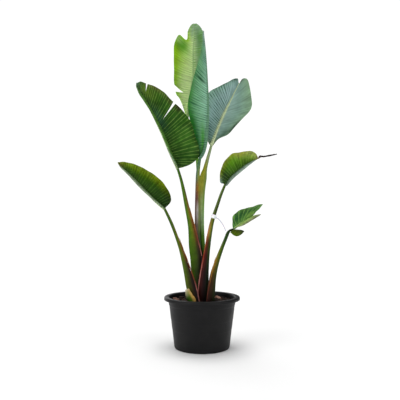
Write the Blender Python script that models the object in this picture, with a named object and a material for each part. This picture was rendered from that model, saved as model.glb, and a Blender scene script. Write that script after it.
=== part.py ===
"""Potted bird of paradise: seven leaves in a fan, standing in a round nursery pot of soil.

Metres, +Z up. The origin is the centre of the pot's flat base, and -Y is the front of the plant.
Each leaf is a stalk, swept along its centre line, and a blade, lofted from its midrib to its
two margins. "Left" and "right" are those of the blade's upper side, seen with its tip upwards.
"""

import math
import random

import bmesh
import bpy
from mathutils import Matrix, Vector, noise
from mathutils.geometry import interpolate_bezier

# Pot: a moulded nursery pot with a rolled lip and two faint steps in its wall.
POT_HEIGHT = 0.175
BASE_RADIUS = 0.0915
RIM_RADIUS = 0.1315
WALL = 0.0018
FLOOR = 0.003
POT_SIDES = 48
LIP_DROP = 0.0105
DRAIN_HOLES = 8
DRAIN_RADIUS = 0.006
DRAIN_RING = 0.074

# Soil.
SOIL_TOP = 0.158
SOIL_RINGS = 7
SOIL_LUMP = 0.004
CHIPS = 15
CHIP_RING = (0.066, 0.098)

# Clearance kept between pieces that touch.
GAP = 0.0003

# Blades.
LAMINA = 0.0009
RIB_DEPTH = 0.0065
RIB_HALF_WIDTH = 0.0042
TIP_HALF_WIDTH = 0.0025
LENGTHWISE = 20
ACROSS = 4

# Stalks.
STALK_SIDES = 8
STEPS_PER_SPAN = 2
TOP_WIDTH = 0.0085
SOIL_DEPTH = 0.118

# Each stalk: its centre line from the soil up, and its width across the fan and depth through
# it at each point. The broad lower stretch is the sheath that clasps the rest of the clump, and
# the stalk ends where the rib of its blade begins.
STALKS = {
    "stalk_low_left": (
        (-0.028, -0.036, SOIL_DEPTH, 0.040, 0.014),
        (-0.031, -0.036, 0.180, 0.036, 0.014),
        (-0.041, -0.036, 0.224, 0.031, 0.013),
        (-0.0535, -0.038, 0.276, 0.023, 0.012),
        (-0.0695, -0.042, 0.334, 0.0160, 0.011),
        (-0.087, -0.046, 0.384, 0.0115, 0.0095),
        (-0.1055, -0.050, 0.432, 0.0105, 0.0085),
    ),
    "stalk_tall_left": (
        (-0.014, -0.009, SOIL_DEPTH, 0.034, 0.013),
        (-0.016, -0.009, 0.198, 0.038, 0.014),
        (-0.020, -0.011, 0.294, 0.040, 0.014),
        (-0.0275, -0.015, 0.354, 0.037, 0.014),
        (-0.0375, -0.022, 0.418, 0.0225, 0.014),
        (-0.0515, -0.033, 0.484, 0.0160, 0.013),
        (-0.0687, -0.048, 0.566, 0.0105, 0.010),
    ),
    "stalk_centre_front": (
        (-0.018, 0.011, SOIL_DEPTH, 0.020, 0.014),
        (-0.018, 0.011, 0.174, 0.020, 0.014),
        (-0.017, 0.011, 0.300, 0.018, 0.014),
        (-0.0168, 0.009, 0.422, 0.018, 0.013),
        (-0.0158, 0.004, 0.534, 0.0165, 0.012),
        (-0.0140, -0.004, 0.608, 0.0130, 0.011),
    ),
    "stalk_right_back": (
        (0.007, 0.015, SOIL_DEPTH, 0.020, 0.014),
        (0.006, 0.016, 0.174, 0.020, 0.014),
        (0.005, 0.018, 0.298, 0.018, 0.014),
        (-0.001, 0.024, 0.422, 0.017, 0.013),
        (-0.0005, 0.030, 0.528, 0.021, 0.012),
        (0.0045, 0.034, 0.590, 0.025, 0.011),
        (0.011, 0.036, 0.622, 0.0155, 0.010),
        (0.018, 0.039, 0.650, 0.0125, 0.010),
    ),
    "stalk_young_back": (
        (-0.006, 0.038, SOIL_DEPTH, 0.018, 0.014),
        (-0.007, 0.039, 0.170, 0.017, 0.014),
        (-0.010, 0.044, 0.332, 0.015, 0.013),
        (-0.012, 0.052, 0.494, 0.013, 0.012),
        (-0.014, 0.060, 0.614, 0.012, 0.011),
        (-0.022, 0.068, 0.696, 0.0105, 0.010),
        (-0.042, 0.078, 0.770, 0.0095, 0.0095),
    ),
    "stalk_arching_right": (
        (0.005, -0.026, SOIL_DEPTH, 0.036, 0.011),
        (0.005, -0.026, 0.186, 0.036, 0.012),
        (0.009, -0.027, 0.268, 0.029, 0.013),
        (0.0175, -0.027, 0.336, 0.0205, 0.013),
        (0.0297, -0.027, 0.412, 0.0155, 0.012),
        (0.040, -0.028, 0.452, 0.0130, 0.012),
        (0.054, -0.029, 0.494, 0.0110, 0.011),
        (0.065, -0.029, 0.526, 0.0100, 0.010),
    ),
    "stalk_small_right": (
        (0.027, -0.043, SOIL_DEPTH, 0.028, 0.013),
        (0.030, -0.042, 0.184, 0.028, 0.013),
        (0.037, -0.042, 0.246, 0.023, 0.012),
        (0.050, -0.042, 0.296, 0.017, 0.011),
        (0.069, -0.042, 0.348, 0.0125, 0.010),
        (0.0797, -0.042, 0.374, 0.0115, 0.0095),
        (0.0875, -0.043, 0.394, 0.0110, 0.009),
        (0.095, -0.044, 0.404, 0.0075, 0.0075),
    ),
    "cut_stub": (
        (-0.024, -0.062, SOIL_DEPTH, 0.022, 0.010),
        (-0.032, -0.062, 0.162, 0.026, 0.010),
        (-0.043, -0.063, 0.186, 0.024, 0.009),
        (-0.051, -0.064, 0.208, 0.013, 0.005),
    ),
}

# Each blade: its midrib from the stalk to the tip, and the margin of each half. "sweep" is how
# far the veins lean towards the tip, "rows" the mesh's rows along a short blade, and a tear is
# (half, place along the midrib, share of the half that stays whole, opening).
BLADES = {
    "blade_low_left": {
        "stalk": "stalk_low_left",
        "midrib": (
            (-0.125, -0.055, 0.479), (-0.160, -0.067, 0.508), (-0.204, -0.080, 0.554),
            (-0.247, -0.090, 0.596), (-0.280, -0.098, 0.630),
        ),
        "left": (
            (-0.134, -0.080, 0.486), (-0.165, -0.112, 0.509), (-0.204, -0.128, 0.546),
            (-0.241, -0.130, 0.586), (-0.266, -0.118, 0.610),
        ),
        "right": (
            (-0.105, -0.048, 0.506), (-0.115, -0.040, 0.540), (-0.141, -0.038, 0.576),
            (-0.178, -0.045, 0.604), (-0.221, -0.060, 0.626), (-0.258, -0.082, 0.634),
        ),
        "sweep": 1.2, "arch": 0.10, "wave": 0.0007,
    },
    "blade_tall_left": {
        "stalk": "stalk_tall_left",
        "midrib": (
            (-0.080, -0.057, 0.614), (-0.106, -0.070, 0.666), (-0.135, -0.082, 0.732),
            (-0.177, -0.092, 0.814), (-0.212, -0.100, 0.864), (-0.218, -0.103, 0.896),
        ),
        "left": (
            (-0.088, -0.092, 0.632), (-0.108, -0.135, 0.666), (-0.132, -0.160, 0.720),
            (-0.170, -0.165, 0.794), (-0.201, -0.150, 0.842), (-0.216, -0.125, 0.876),
        ),
        "right": (
            (-0.062, -0.050, 0.620), (-0.036, -0.045, 0.632), (-0.012, -0.042, 0.656),
            (-0.012, -0.042, 0.690), (-0.022, -0.045, 0.724), (-0.036, -0.050, 0.768),
            (-0.056, -0.055, 0.802), (-0.089, -0.060, 0.834), (-0.142, -0.073, 0.882),
            (-0.179, -0.083, 0.896), (-0.204, -0.094, 0.902),
        ),
        "sweep": 1.55, "arch": 0.08, "wave": 0.002,
        "tears": (("right", 0.50, 0.25, 0.010), ("right", 0.80, 0.50, 0.010)),
    },
    "blade_centre_front": {
        "stalk": "stalk_centre_front",
        "midrib": (
            (-0.009, -0.012, 0.656), (0.005, -0.014, 0.678), (0.015, -0.016, 0.726),
            (0.020, -0.018, 0.816), (0.018, -0.016, 0.922), (0.013, -0.012, 1.030),
            (0.006, -0.008, 1.108),
        ),
        "left": (
            (0.004, 0.005, 0.690), (0.011, 0.025, 0.754), (0.016, 0.036, 0.836),
            (0.015, 0.035, 0.926), (0.010, 0.024, 1.014), (0.007, 0.008, 1.070),
        ),
        "right": (
            (-0.016, -0.022, 0.686), (-0.031, -0.030, 0.742), (-0.046, -0.036, 0.804),
            (-0.048, -0.036, 0.848), (-0.038, -0.034, 0.900), (-0.024, -0.030, 0.956),
            (-0.008, -0.022, 1.010), (0.001, -0.014, 1.062),
        ),
        "sweep": 1.4, "arch": 0.08, "wave": 0.0015,
    },
    "blade_young_back": {
        "stalk": "stalk_young_back",
        "midrib": (
            (-0.055, 0.085, 0.816), (-0.049, 0.088, 0.870), (-0.040, 0.090, 0.922),
            (-0.033, 0.090, 0.990), (-0.033, 0.088, 1.064), (-0.030, 0.084, 1.124),
            (-0.029, 0.080, 1.168),
        ),
        "left": (
            (-0.042, 0.090, 0.832), (-0.018, 0.095, 0.870), (-0.001, 0.098, 0.924),
            (0.006, 0.100, 0.992), (0.010, 0.100, 1.068), (0.010, 0.097, 1.120),
            (-0.001, 0.090, 1.154), (-0.018, 0.084, 1.168),
        ),
        "right": (
            (-0.062, 0.083, 0.834), (-0.071, 0.080, 0.858), (-0.082, 0.077, 0.886),
            (-0.095, 0.074, 0.904), (-0.102, 0.070, 0.940), (-0.103, 0.066, 1.014),
            (-0.103, 0.066, 1.076),
            (-0.094, 0.067, 1.108), (-0.081, 0.070, 1.122), (-0.057, 0.078, 1.106),
            (-0.052, 0.078, 1.138), (-0.042, 0.079, 1.160),
        ),
        "sweep": 1.12, "arch": 0.12, "wave": 0.0015,
        "tears": (("right", 0.25, 0.40, 0.028),),
    },
    "blade_right_back": {
        "stalk": "stalk_right_back",
        "midrib": (
            (0.034, 0.045, 0.706), (0.054, 0.050, 0.762), (0.075, 0.055, 0.814),
            (0.108, 0.058, 0.882), (0.136, 0.055, 0.938),
        ),
        "left": (
            (0.058, 0.045, 0.730), (0.091, 0.045, 0.746), (0.115, 0.045, 0.770),
            (0.141, 0.045, 0.800), (0.169, 0.045, 0.828), (0.181, 0.045, 0.854),
            (0.179, 0.045, 0.884), (0.174, 0.045, 0.918), (0.167, 0.047, 0.946),
            (0.156, 0.049, 0.954), (0.145, 0.052, 0.951),
        ),
        "right": (
            (0.020, 0.050, 0.726), (0.008, 0.058, 0.760), (0.004, 0.064, 0.812),
            (0.008, 0.066, 0.864), (0.024, 0.066, 0.904), (0.052, 0.064, 0.923),
            (0.078, 0.061, 0.935), (0.103, 0.059, 0.948), (0.120, 0.057, 0.955),
            (0.131, 0.056, 0.955),
        ),
        "sweep": 1.35, "arch": 0.05, "wave": 0.0015,
    },
    "blade_arching_right": {
        "stalk": "stalk_arching_right",
        "midrib": (
            (0.077, -0.030, 0.562), (0.099, -0.035, 0.586), (0.122, -0.038, 0.604),
            (0.154, -0.040, 0.628), (0.193, -0.042, 0.650),
        ),
        "left": (
            (0.063, -0.022, 0.570), (0.063, -0.012, 0.604), (0.078, 0.000, 0.644),
            (0.105, 0.004, 0.672), (0.134, 0.004, 0.678), (0.169, -0.003, 0.682),
            (0.188, -0.018, 0.670),
        ),
        "right": (
            (0.084, -0.050, 0.556), (0.102, -0.078, 0.576), (0.125, -0.088, 0.596),
            (0.154, -0.083, 0.620), (0.179, -0.062, 0.640),
        ),
        "sweep": 1.2, "arch": 0.14, "wave": 0.0007,
    },
    "blade_small_right": {
        "stalk": "stalk_small_right",
        "midrib": (
            (0.106, -0.045, 0.410), (0.135, -0.050, 0.432), (0.159, -0.053, 0.446),
            (0.174, -0.055, 0.454),
        ),
        "left": (
            (0.104, -0.035, 0.432), (0.107, -0.028, 0.454), (0.131, -0.025, 0.474),
            (0.167, -0.030, 0.484), (0.207, -0.045, 0.494), (0.181, -0.054, 0.464),
        ),
        "right": (
            (0.121, -0.065, 0.416), (0.139, -0.075, 0.422), (0.162, -0.080, 0.436),
            (0.197, -0.075, 0.458), (0.181, -0.060, 0.456),
        ),
        "sweep": 1.15, "arch": 0.08, "wave": 0.001, "rib": 0.7,
    },
    "bract_small_right": {
        "midrib": (
            (0.0966, -0.044, 0.3985), (0.106, -0.045, 0.388), (0.119, -0.046, 0.384),
            (0.132, -0.047, 0.389), (0.144, -0.048, 0.401),
        ),
        "left": ((0.102, -0.055, 0.405), (0.115, -0.061, 0.407), (0.134, -0.056, 0.406)),
        "right": ((0.102, -0.034, 0.405), (0.115, -0.030, 0.407), (0.134, -0.038, 0.406)),
        "sweep": 1.0, "arch": 0.09, "wave": 0.0, "rib": 0.5, "rows": 8,
    },
}

# The dried thread beyond the tip of the arching leaf: points, with the diameter at each.
THREAD_START = 0.0036
THREAD = (
    (0.1975, -0.043, 0.6562, 0.0044, 0.0040),
    (0.2045, -0.044, 0.6572, 0.0036, 0.0034),
    (0.2160, -0.046, 0.6570, 0.0030, 0.0030),
    (0.2350, -0.048, 0.6605, 0.0030, 0.0030),
    (0.2560, -0.050, 0.6645, 0.0018, 0.0018),
)

# The white tie: a band round the arching stalk and the free end of its strap.
TIE_HEIGHT = 0.4515
TIE_INNER = 0.0072
TIE_OUTER = 0.0096
TIE_LENGTH = 0.013
TIE_STRAP = (
    (0.047, -0.031, 0.448, 0.0032, 0.0012),
    (0.057, -0.033, 0.442, 0.0032, 0.0012),
    (0.067, -0.038, 0.430, 0.0030, 0.0012),
    (0.075, -0.046, 0.416, 0.0028, 0.0012),
    (0.080, -0.053, 0.402, 0.0024, 0.0012),
)


def material(name, colour, roughness):
    """A Principled material of one linear colour."""
    made = bpy.data.materials.new(name)
    made.use_nodes = True
    shader = made.node_tree.nodes["Principled BSDF"]
    shader.inputs["Base Color"].default_value = (*colour, 1.0)
    shader.inputs["Roughness"].default_value = roughness
    shader.inputs["Metallic"].default_value = 0.0
    return made


def object_of(name, bm, look=None):
    """The finished mesh as an object of the scene, with its faces turned outwards."""
    bmesh.ops.recalc_face_normals(bm, faces=bm.faces[:])
    mesh = bpy.data.meshes.new(name)
    bm.to_mesh(mesh)
    bm.free()
    made = bpy.data.objects.new(name, mesh)
    bpy.context.scene.collection.objects.link(made)
    if look:
        mesh.materials.append(look)
        mesh.shade_smooth()
        mesh.set_sharp_from_angle(angle=math.radians(40))
    return made


def combine(target, operation, parts):
    """Joins the parts to the target, or cuts them from it, and removes them."""
    group = bpy.data.collections.new(target.name + "_parts")
    bpy.context.scene.collection.children.link(group)
    for part in parts:
        bpy.context.scene.collection.objects.unlink(part)
        group.objects.link(part)
    modifier = target.modifiers.new(operation.lower(), "BOOLEAN")
    modifier.operation = operation
    modifier.operand_type = "COLLECTION"
    modifier.collection = group
    modifier.solver = "EXACT"
    graph = bpy.context.evaluated_depsgraph_get()
    result = bpy.data.meshes.new_from_object(target.evaluated_get(graph))
    target.modifiers.clear()
    target.data = result
    for part in parts:
        bpy.data.objects.remove(part)
    bpy.data.collections.remove(group)


def smooth_span(points, span, steps):
    """Steps + 1 points of the smooth curve through the points, from points[span] to the next."""
    before = points[max(span - 1, 0)]
    start, end = points[span], points[span + 1]
    after = points[min(span + 2, len(points) - 1)]
    return interpolate_bezier(
        start, start + (end - before) / 6, end - (after - start) / 6, end, steps + 1
    )


class Curve:
    """A smooth curve through 3-D points, read by its share of the length."""

    STEPS = 12

    def __init__(self, points):
        points = [Vector(point) for point in points]
        self.points = [points[0]]
        for span in range(len(points) - 1):
            self.points += smooth_span(points, span, self.STEPS)[1:]
        self.lengths = [0.0]
        for a, b in zip(self.points, self.points[1:]):
            self.lengths.append(self.lengths[-1] + (b - a).length)

    def at(self, share):
        wanted = min(max(share, 0.0), 1.0) * self.lengths[-1]
        for i in range(1, len(self.points)):
            if self.lengths[i] >= wanted:
                break
        span = self.lengths[i] - self.lengths[i - 1]
        return self.points[i - 1].lerp(self.points[i], (wanted - self.lengths[i - 1]) / span)


def stations(rows):
    """(centre, width, depth) along a sweep whose rows are (x, y, z, width, depth)."""
    centres = [Vector(row[:3]) for row in rows]
    found = [(centres[0], rows[0][3], rows[0][4])]
    for span in range(len(rows) - 1):
        curve = smooth_span(centres, span, STEPS_PER_SPAN)
        for step in range(1, STEPS_PER_SPAN + 1):
            share = step / STEPS_PER_SPAN
            width = rows[span][3] * (1 - share) + rows[span + 1][3] * share
            depth = rows[span][4] * (1 - share) + rows[span + 1][4] * share
            found.append((curve[step], width, depth))
    return found


def sweep(rows, sides=STALK_SIDES, grow=0.0, top=None, ends=None):
    """A closed sweep of ellipses square to its path, grown all round by grow.

    A height given as top ends it at the first station above. The dictionary ends gives the
    direction in which the first (0) or last (-1) ring faces, where it meets another piece.
    """
    bm = bmesh.new()
    path = stations(rows)
    if top is not None:
        path = path[: 1 + sum(station[0].z < top for station in path)]
    last = len(path) - 1
    directions = [path[min(i + 1, last)][0] - path[max(i - 1, 0)][0] for i in range(last + 1)]
    for end, along in (ends or {}).items():
        directions[end] = along
    rings = []
    for i, (centre, width, depth) in enumerate(path):
        along = directions[i].normalized()
        if i == 0:
            centre = centre - along * grow
        across = Vector((0.0, 1.0, 0.0)).cross(along).normalized()
        through = along.cross(across)
        axes = Matrix((across, through, along)).transposed().to_4x4()
        size = Matrix.Diagonal((width / 2 + grow, depth / 2 + grow, 1.0, 1.0))
        ring = bmesh.ops.create_circle(
            bm,
            cap_ends=i in (0, last),
            segments=sides,
            radius=1.0,
            matrix=Matrix.Translation(centre) @ axes @ size,
        )["verts"]
        rings.append(list({edge for vert in ring for edge in vert.link_edges}))
    for lower, upper in zip(rings, rings[1:]):
        bmesh.ops.bridge_loops(bm, edges=lower + upper)
    return bm


class Loft:
    """The upper surface of a blade, between its midrib and its margins."""

    def __init__(self, blade):
        self.midrib = Curve(blade["midrib"])
        self.sweep = blade["sweep"]
        self.arch = blade["arch"]
        self.wave = blade["wave"]
        self.rib = blade.get("rib", 1.0)
        base, tip = self.midrib.at(0.0), self.midrib.at(1.0)
        self.margins, self.normals = {}, {}
        for half in ("left", "right"):
            points = [Vector(point) for point in blade[half]]
            start = self.beside(base, points[0], self.midrib.at(0.1) - base)
            end = self.beside(tip, points[-1], tip - self.midrib.at(0.9))
            start = base + start * RIB_HALF_WIDTH * self.rib
            end = tip + end * TIP_HALF_WIDTH
            self.margins[half] = Curve([start, *points, end])
            self.normals[half] = self.upward(half)

    def foot(self):
        """The middle of the rib's section where the stalk meets it, and the rib's direction."""
        along = (self.midrib.at(0.1) - self.midrib.at(0.0)).normalized()
        down = -(self.normals["left"] + self.normals["right"])
        down = (down - along * down.dot(along)).normalized()
        return self.midrib.at(0.0) + down * RIB_DEPTH * self.rib / 2, along

    @staticmethod
    def beside(point, towards, along):
        """The unit direction from the midrib to a margin point, square to the midrib."""
        along = along.normalized()
        aside = towards - point
        return (aside - along * aside.dot(along)).normalized()

    def upward(self, half):
        """The mean upward normal of one half."""
        total = Vector()
        for i in range(1, 10):
            along = self.midrib.at(i / 10 + 0.05) - self.midrib.at(i / 10 - 0.05)
            out = self.margins[half].at(i / 10) - self.midrib.at(i / 10)
            total += along.cross(out) if half == "left" else out.cross(along)
        return total.normalized()

    def point(self, along, across):
        """The surface at a share of the length and, from -1 to 1, of the width."""
        half = "left" if across < 0 else "right"
        share = abs(across)
        root = self.midrib.at(along)
        out = self.margins[half].at(1 - (1 - along) ** self.sweep) - root
        if 0 < share < 1.01 / ACROSS:
            share = min(RIB_HALF_WIDTH * self.rib * (1 - 0.8 * along) / out.length, share)
        lift = self.arch * 4 * share * (1 - share) * out.length
        lift += self.wave * share**2 * math.sin(along * 14 * math.pi)
        return root + out * share + self.normals[half] * lift


def tear(bm, half, place, whole, opening):
    """Opens the grid along one vein, from the margin in to the share that stays whole."""
    line = round(place * LENGTHWISE) / LENGTHWISE
    sign = -1 if half == "left" else 1

    def torn(vert):
        return abs(vert.co.x - line) < 1e-4 and vert.co.y * sign > whole - 1e-4

    edges = [edge for edge in bm.edges if all(torn(vert) for vert in edge.verts)]
    bmesh.ops.split_edges(bm, edges=edges)
    for vert in [vert for vert in bm.verts if torn(vert)]:
        middle = sum(face.calc_center_median().x for face in vert.link_faces)
        side = middle / len(vert.link_faces) - line
        share = (abs(vert.co.y) - whole) / (1 - whole)
        if abs(side) > 0.2 / LENGTHWISE:
            vert.co.x += math.copysign(opening, side) * share


def blade_mesh(blade):
    """A blade as one closed solid: the lamina, and a rib under its midrib."""
    loft = Loft(blade)
    bm = bmesh.new()
    rows = blade.get("rows", LENGTHWISE)
    bmesh.ops.create_grid(bm, x_segments=rows, y_segments=2 * ACROSS, size=1.0)
    for vert in bm.verts:
        vert.co.x = (vert.co.x + 1) / 2
    for half, place, whole, opening in blade.get("tears", ()):
        tear(bm, half, place, whole, opening)
    place = bm.verts.layers.float_vector.new("place")
    outward = bm.verts.layers.float_vector.new("outward")
    for vert in bm.verts:
        vert[place] = vert.co
        vert.co = loft.point(vert.co.x, vert.co.y)
    bmesh.ops.triangulate(bm, faces=bm.faces[:])
    bmesh.ops.recalc_face_normals(bm, faces=bm.faces[:])
    bm.normal_update()
    middle = min(bm.verts, key=lambda v: abs(v[place].x - 0.5) + abs(v[place].y - 0.5))
    turn = math.copysign(1.0, middle.normal.dot(loft.normals["right"]))
    _, foot_along = loft.foot()
    for vert in bm.verts:
        normal = vert.normal * turn
        if vert[place].x < 1e-4:
            normal = (normal - foot_along * normal.dot(foot_along)).normalized()
        vert[outward] = normal
    under = bmesh.ops.extrude_face_region(bm, geom=bm.faces[:], use_keep_orig=True)["geom"]
    for vert in under:
        if isinstance(vert, bmesh.types.BMVert):
            along, across, _ = vert[place]
            rib = RIB_DEPTH * loft.rib * (1 - along) if abs(across) < 0.01 else 0.0
            vert.co -= vert[outward] * (LAMINA * (1 - 0.5 * along) + rib)
    return bm


def lathe(profile, sides):
    """A closed profile of (radius, height) points, turned about Z."""
    bm = bmesh.new()
    verts = [bm.verts.new((radius, 0.0, height)) for radius, height in profile]
    edges = [bm.edges.new(pair) for pair in zip(verts, verts[1:])]
    if profile[0][0] > 0:
        edges.append(bm.edges.new((verts[-1], verts[0])))
    bmesh.ops.spin(
        bm, geom=verts + edges, cent=(0, 0, 0), axis=(0, 0, 1), angle=2 * math.pi, steps=sides
    )
    bmesh.ops.remove_doubles(bm, verts=bm.verts[:], dist=1e-6)
    return bm


def wall_radius(height):
    """The outside of the pot's plain wall at a height."""
    return BASE_RADIUS + 0.004 + 0.115 * height


def make_pot():
    lip = POT_HEIGHT - LIP_DROP
    top_inside = wall_radius(lip) - WALL
    profile = [
        (0.0, 0.0), (BASE_RADIUS, 0.0), (BASE_RADIUS + 0.003, 0.0012),
        (wall_radius(0.005), 0.005), (wall_radius(0.064), 0.064),
        (wall_radius(0.066) + 0.0006, 0.066), (wall_radius(0.098) + 0.0006, 0.098),
        (wall_radius(0.100) + 0.0012, 0.100), (wall_radius(0.145) + 0.0012, 0.145),
        (wall_radius(0.148) + 0.0024, 0.148), (wall_radius(lip) + 0.0024, lip - 0.003),
        (wall_radius(lip) + 0.0050, lip), (RIM_RADIUS - 0.0015, lip - 0.0002),
        (RIM_RADIUS, lip + 0.0015), (RIM_RADIUS, POT_HEIGHT - 0.0035),
        (RIM_RADIUS - 0.0018, POT_HEIGHT - 0.0008), (RIM_RADIUS - 0.005, POT_HEIGHT),
        (top_inside + 0.005, POT_HEIGHT), (top_inside + 0.001, POT_HEIGHT - 0.002),
        (top_inside, lip), (wall_radius(FLOOR) - WALL, FLOOR), (0.0, FLOOR),
    ]
    pot = object_of("pot", lathe(profile, POT_SIDES), material("black_pot", (0.012, 0.012, 0.013), 0.5))
    holes = []
    for i in range(DRAIN_HOLES):
        angle = 2 * math.pi * (i + 0.5) / DRAIN_HOLES
        place = Matrix.Rotation(angle, 4, "Z") @ Matrix.Translation((DRAIN_RING, 0, FLOOR / 2))
        bm = bmesh.new()
        bmesh.ops.create_cone(
            bm, cap_ends=True, segments=12, radius1=DRAIN_RADIUS, radius2=DRAIN_RADIUS,
            depth=4 * FLOOR, matrix=place,
        )
        holes.append(object_of("hole", bm))
    combine(pot, "DIFFERENCE", holes)


def soil_height(x, y):
    """The uneven top of the soil, a little higher in the middle."""
    mound = 0.004 * (1 - (math.hypot(x, y) / RIM_RADIUS) ** 2)
    return SOIL_TOP + mound + SOIL_LUMP * noise.noise(Vector((x, y, 0.0)) * 45)


def chip(draw, angle, radius):
    """One bark chip, half sunk in the soil."""
    x, y = radius * math.cos(angle), radius * math.sin(angle)
    size = (draw.uniform(0.013, 0.021), draw.uniform(0.008, 0.013), draw.uniform(0.010, 0.015))
    turn = Matrix.Rotation(draw.uniform(0, math.pi), 4, "Z")
    lean = Matrix.Rotation(draw.uniform(-0.5, 0.5), 4, "X")
    place = Matrix.Translation((x, y, soil_height(x, y))) @ turn @ lean
    bm = bmesh.new()
    bmesh.ops.create_cube(bm, size=1.0, matrix=place @ Matrix.Diagonal((*size, 1.0)))
    return object_of("chip", bm)


def make_soil():
    low, high = FLOOR + GAP, SOIL_TOP
    inset = WALL + 2 * GAP
    bm = bmesh.new()
    bmesh.ops.create_cone(
        bm, cap_ends=True, segments=POT_SIDES, radius1=wall_radius(low) - inset,
        radius2=wall_radius(high) - inset, depth=high - low,
        matrix=Matrix.Translation((0, 0, (low + high) / 2)),
    )
    top = max(bm.faces, key=lambda face: face.calc_center_median().z)
    ring = (wall_radius(high) - inset) / (SOIL_RINGS + 1)
    for _ in range(SOIL_RINGS):
        bmesh.ops.inset_region(bm, faces=[top], thickness=ring)
    bmesh.ops.poke(bm, faces=[top])
    for vert in bm.verts:
        if vert.co.z > high - 1e-4:
            vert.co.z = soil_height(vert.co.x, vert.co.y)
    bmesh.ops.triangulate(bm, faces=bm.faces[:])
    soil = object_of("soil", bm, material("potting_soil", (0.03, 0.02, 0.014), 0.95))
    draw = random.Random(7)
    chips = []
    for i in range(CHIPS):
        angle = 2 * math.pi * (i + draw.uniform(-0.25, 0.25)) / CHIPS
        chips.append(chip(draw, angle, draw.uniform(*CHIP_RING)))
    combine(soil, "UNION", chips)
    sockets = []
    for rows in STALKS.values():
        socket = sweep(rows, grow=1.5 * GAP, top=SOIL_TOP + 0.01)
        sockets.append(object_of("socket", socket))
    combine(soil, "DIFFERENCE", sockets)


def make_stalks():
    green = material("green_stalk", (0.10, 0.17, 0.03), 0.45)
    for blade in BLADES.values():
        if "stalk" in blade:
            loft = Loft(blade)
            foot, along = loft.foot()
            top = foot - along * GAP
            width = TOP_WIDTH * loft.rib
            rows = (*STALKS[blade["stalk"]], (*top, width, width))
            object_of(blade["stalk"], sweep(rows, ends={-1: along}), green)
    cut = material("cut_stalk", (0.40, 0.33, 0.16), 0.7)
    object_of("cut_stub", sweep(STALKS["cut_stub"]), cut)


def make_blades():
    upper = material("upper_leaf", (0.03, 0.12, 0.02), 0.4)
    under = material("under_leaf", (0.14, 0.26, 0.16), 0.5)
    young = material("young_leaf", (0.25, 0.42, 0.08), 0.45)
    looks = {
        "blade_centre_front": under, "blade_right_back": under, "blade_young_back": young,
        "bract_small_right": young,
    }
    for name, blade in BLADES.items():
        object_of(name, blade_mesh(blade), looks.get(name, upper))


def make_thread():
    midrib = Loft(BLADES["blade_arching_right"]).midrib
    along = (midrib.at(1.0) - midrib.at(0.9)).normalized()
    start = midrib.at(1.0) + along * GAP
    rows = ((*start, THREAD_START, THREAD_START), *THREAD)
    thread = sweep(rows, sides=6, ends={0: along})
    object_of("dried_tip", thread, material("dried_leaf", (0.09, 0.06, 0.045), 0.8))


def make_tie():
    """The band stands square to the stalk that it holds."""
    path = stations(STALKS["stalk_arching_right"])
    near = min(range(len(path)), key=lambda i: abs(path[i][0].z - TIE_HEIGHT))
    along = path[near + 1][0] - path[near - 1][0]
    turn = along.to_track_quat("Z", "Y").to_matrix().to_4x4()
    half = TIE_LENGTH / 2
    profile = [(TIE_OUTER, half), (TIE_OUTER, -half), (TIE_INNER, -half), (TIE_INNER, half)]
    bm = lathe(profile, 16)
    bm.transform(Matrix.Translation(path[near][0]) @ turn)
    tie = object_of("plant_tie", bm, material("white_tie", (0.80, 0.80, 0.78), 0.4))
    combine(tie, "UNION", [object_of("strap", sweep(TIE_STRAP, sides=6))])


def main():
    for old in list(bpy.data.objects):
        bpy.data.objects.remove(old)
    make_pot()
    make_soil()
    make_stalks()
    make_blades()
    make_thread()
    make_tie()


main()
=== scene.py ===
"""A potted bird of paradise: the looks of its leaves, stalks, pot and soil."""

import random
from math import atan, copysign, cos, exp, hypot, pi, radians, remainder, sin, sqrt

import bmesh
import bpy
from mathutils import Matrix, Vector, noise
from mathutils.geometry import interpolate_bezier


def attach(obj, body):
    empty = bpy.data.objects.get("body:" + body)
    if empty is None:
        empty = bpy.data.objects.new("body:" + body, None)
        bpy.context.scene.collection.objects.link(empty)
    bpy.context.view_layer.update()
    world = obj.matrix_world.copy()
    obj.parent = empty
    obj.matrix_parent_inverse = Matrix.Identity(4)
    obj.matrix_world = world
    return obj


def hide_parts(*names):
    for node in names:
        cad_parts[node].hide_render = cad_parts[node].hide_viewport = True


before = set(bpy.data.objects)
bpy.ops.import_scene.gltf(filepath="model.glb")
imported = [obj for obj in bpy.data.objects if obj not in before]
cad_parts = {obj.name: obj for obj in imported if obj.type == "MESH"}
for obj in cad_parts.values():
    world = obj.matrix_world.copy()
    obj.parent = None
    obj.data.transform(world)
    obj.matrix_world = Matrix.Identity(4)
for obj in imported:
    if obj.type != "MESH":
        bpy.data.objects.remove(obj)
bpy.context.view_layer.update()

# Single sizes are in metres, and the tables of points further down are in millimetres. Both are
# in the frame of the solids.
POT_HEIGHT = 0.175
BASE_RADIUS = 0.0915
RIM_RADIUS = 0.1315
WALL = 0.0018
# The wall's radius where its taper meets the floor, and how much it gains on its way up.
WALL_RADIUS = 0.0955
WALL_TAPER = 0.115
FLOOR = 0.003
LIP_DROP = 0.0105
DRAIN_HOLES = 8
DRAIN_RADIUS = 0.006
DRAIN_RING = 0.074
SOIL_TOP = 0.158
GAP = 0.0003

# The soil's mound, its dips some 22 mm across, and its crumbs of 5 mm and less.
MOUND = 0.004
DIPS = 0.004
DIPS_PER_METRE = 45
CRUMB = 0.0016
CRUMBS_PER_METRE = 210
SOIL_CELLS = 120

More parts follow.
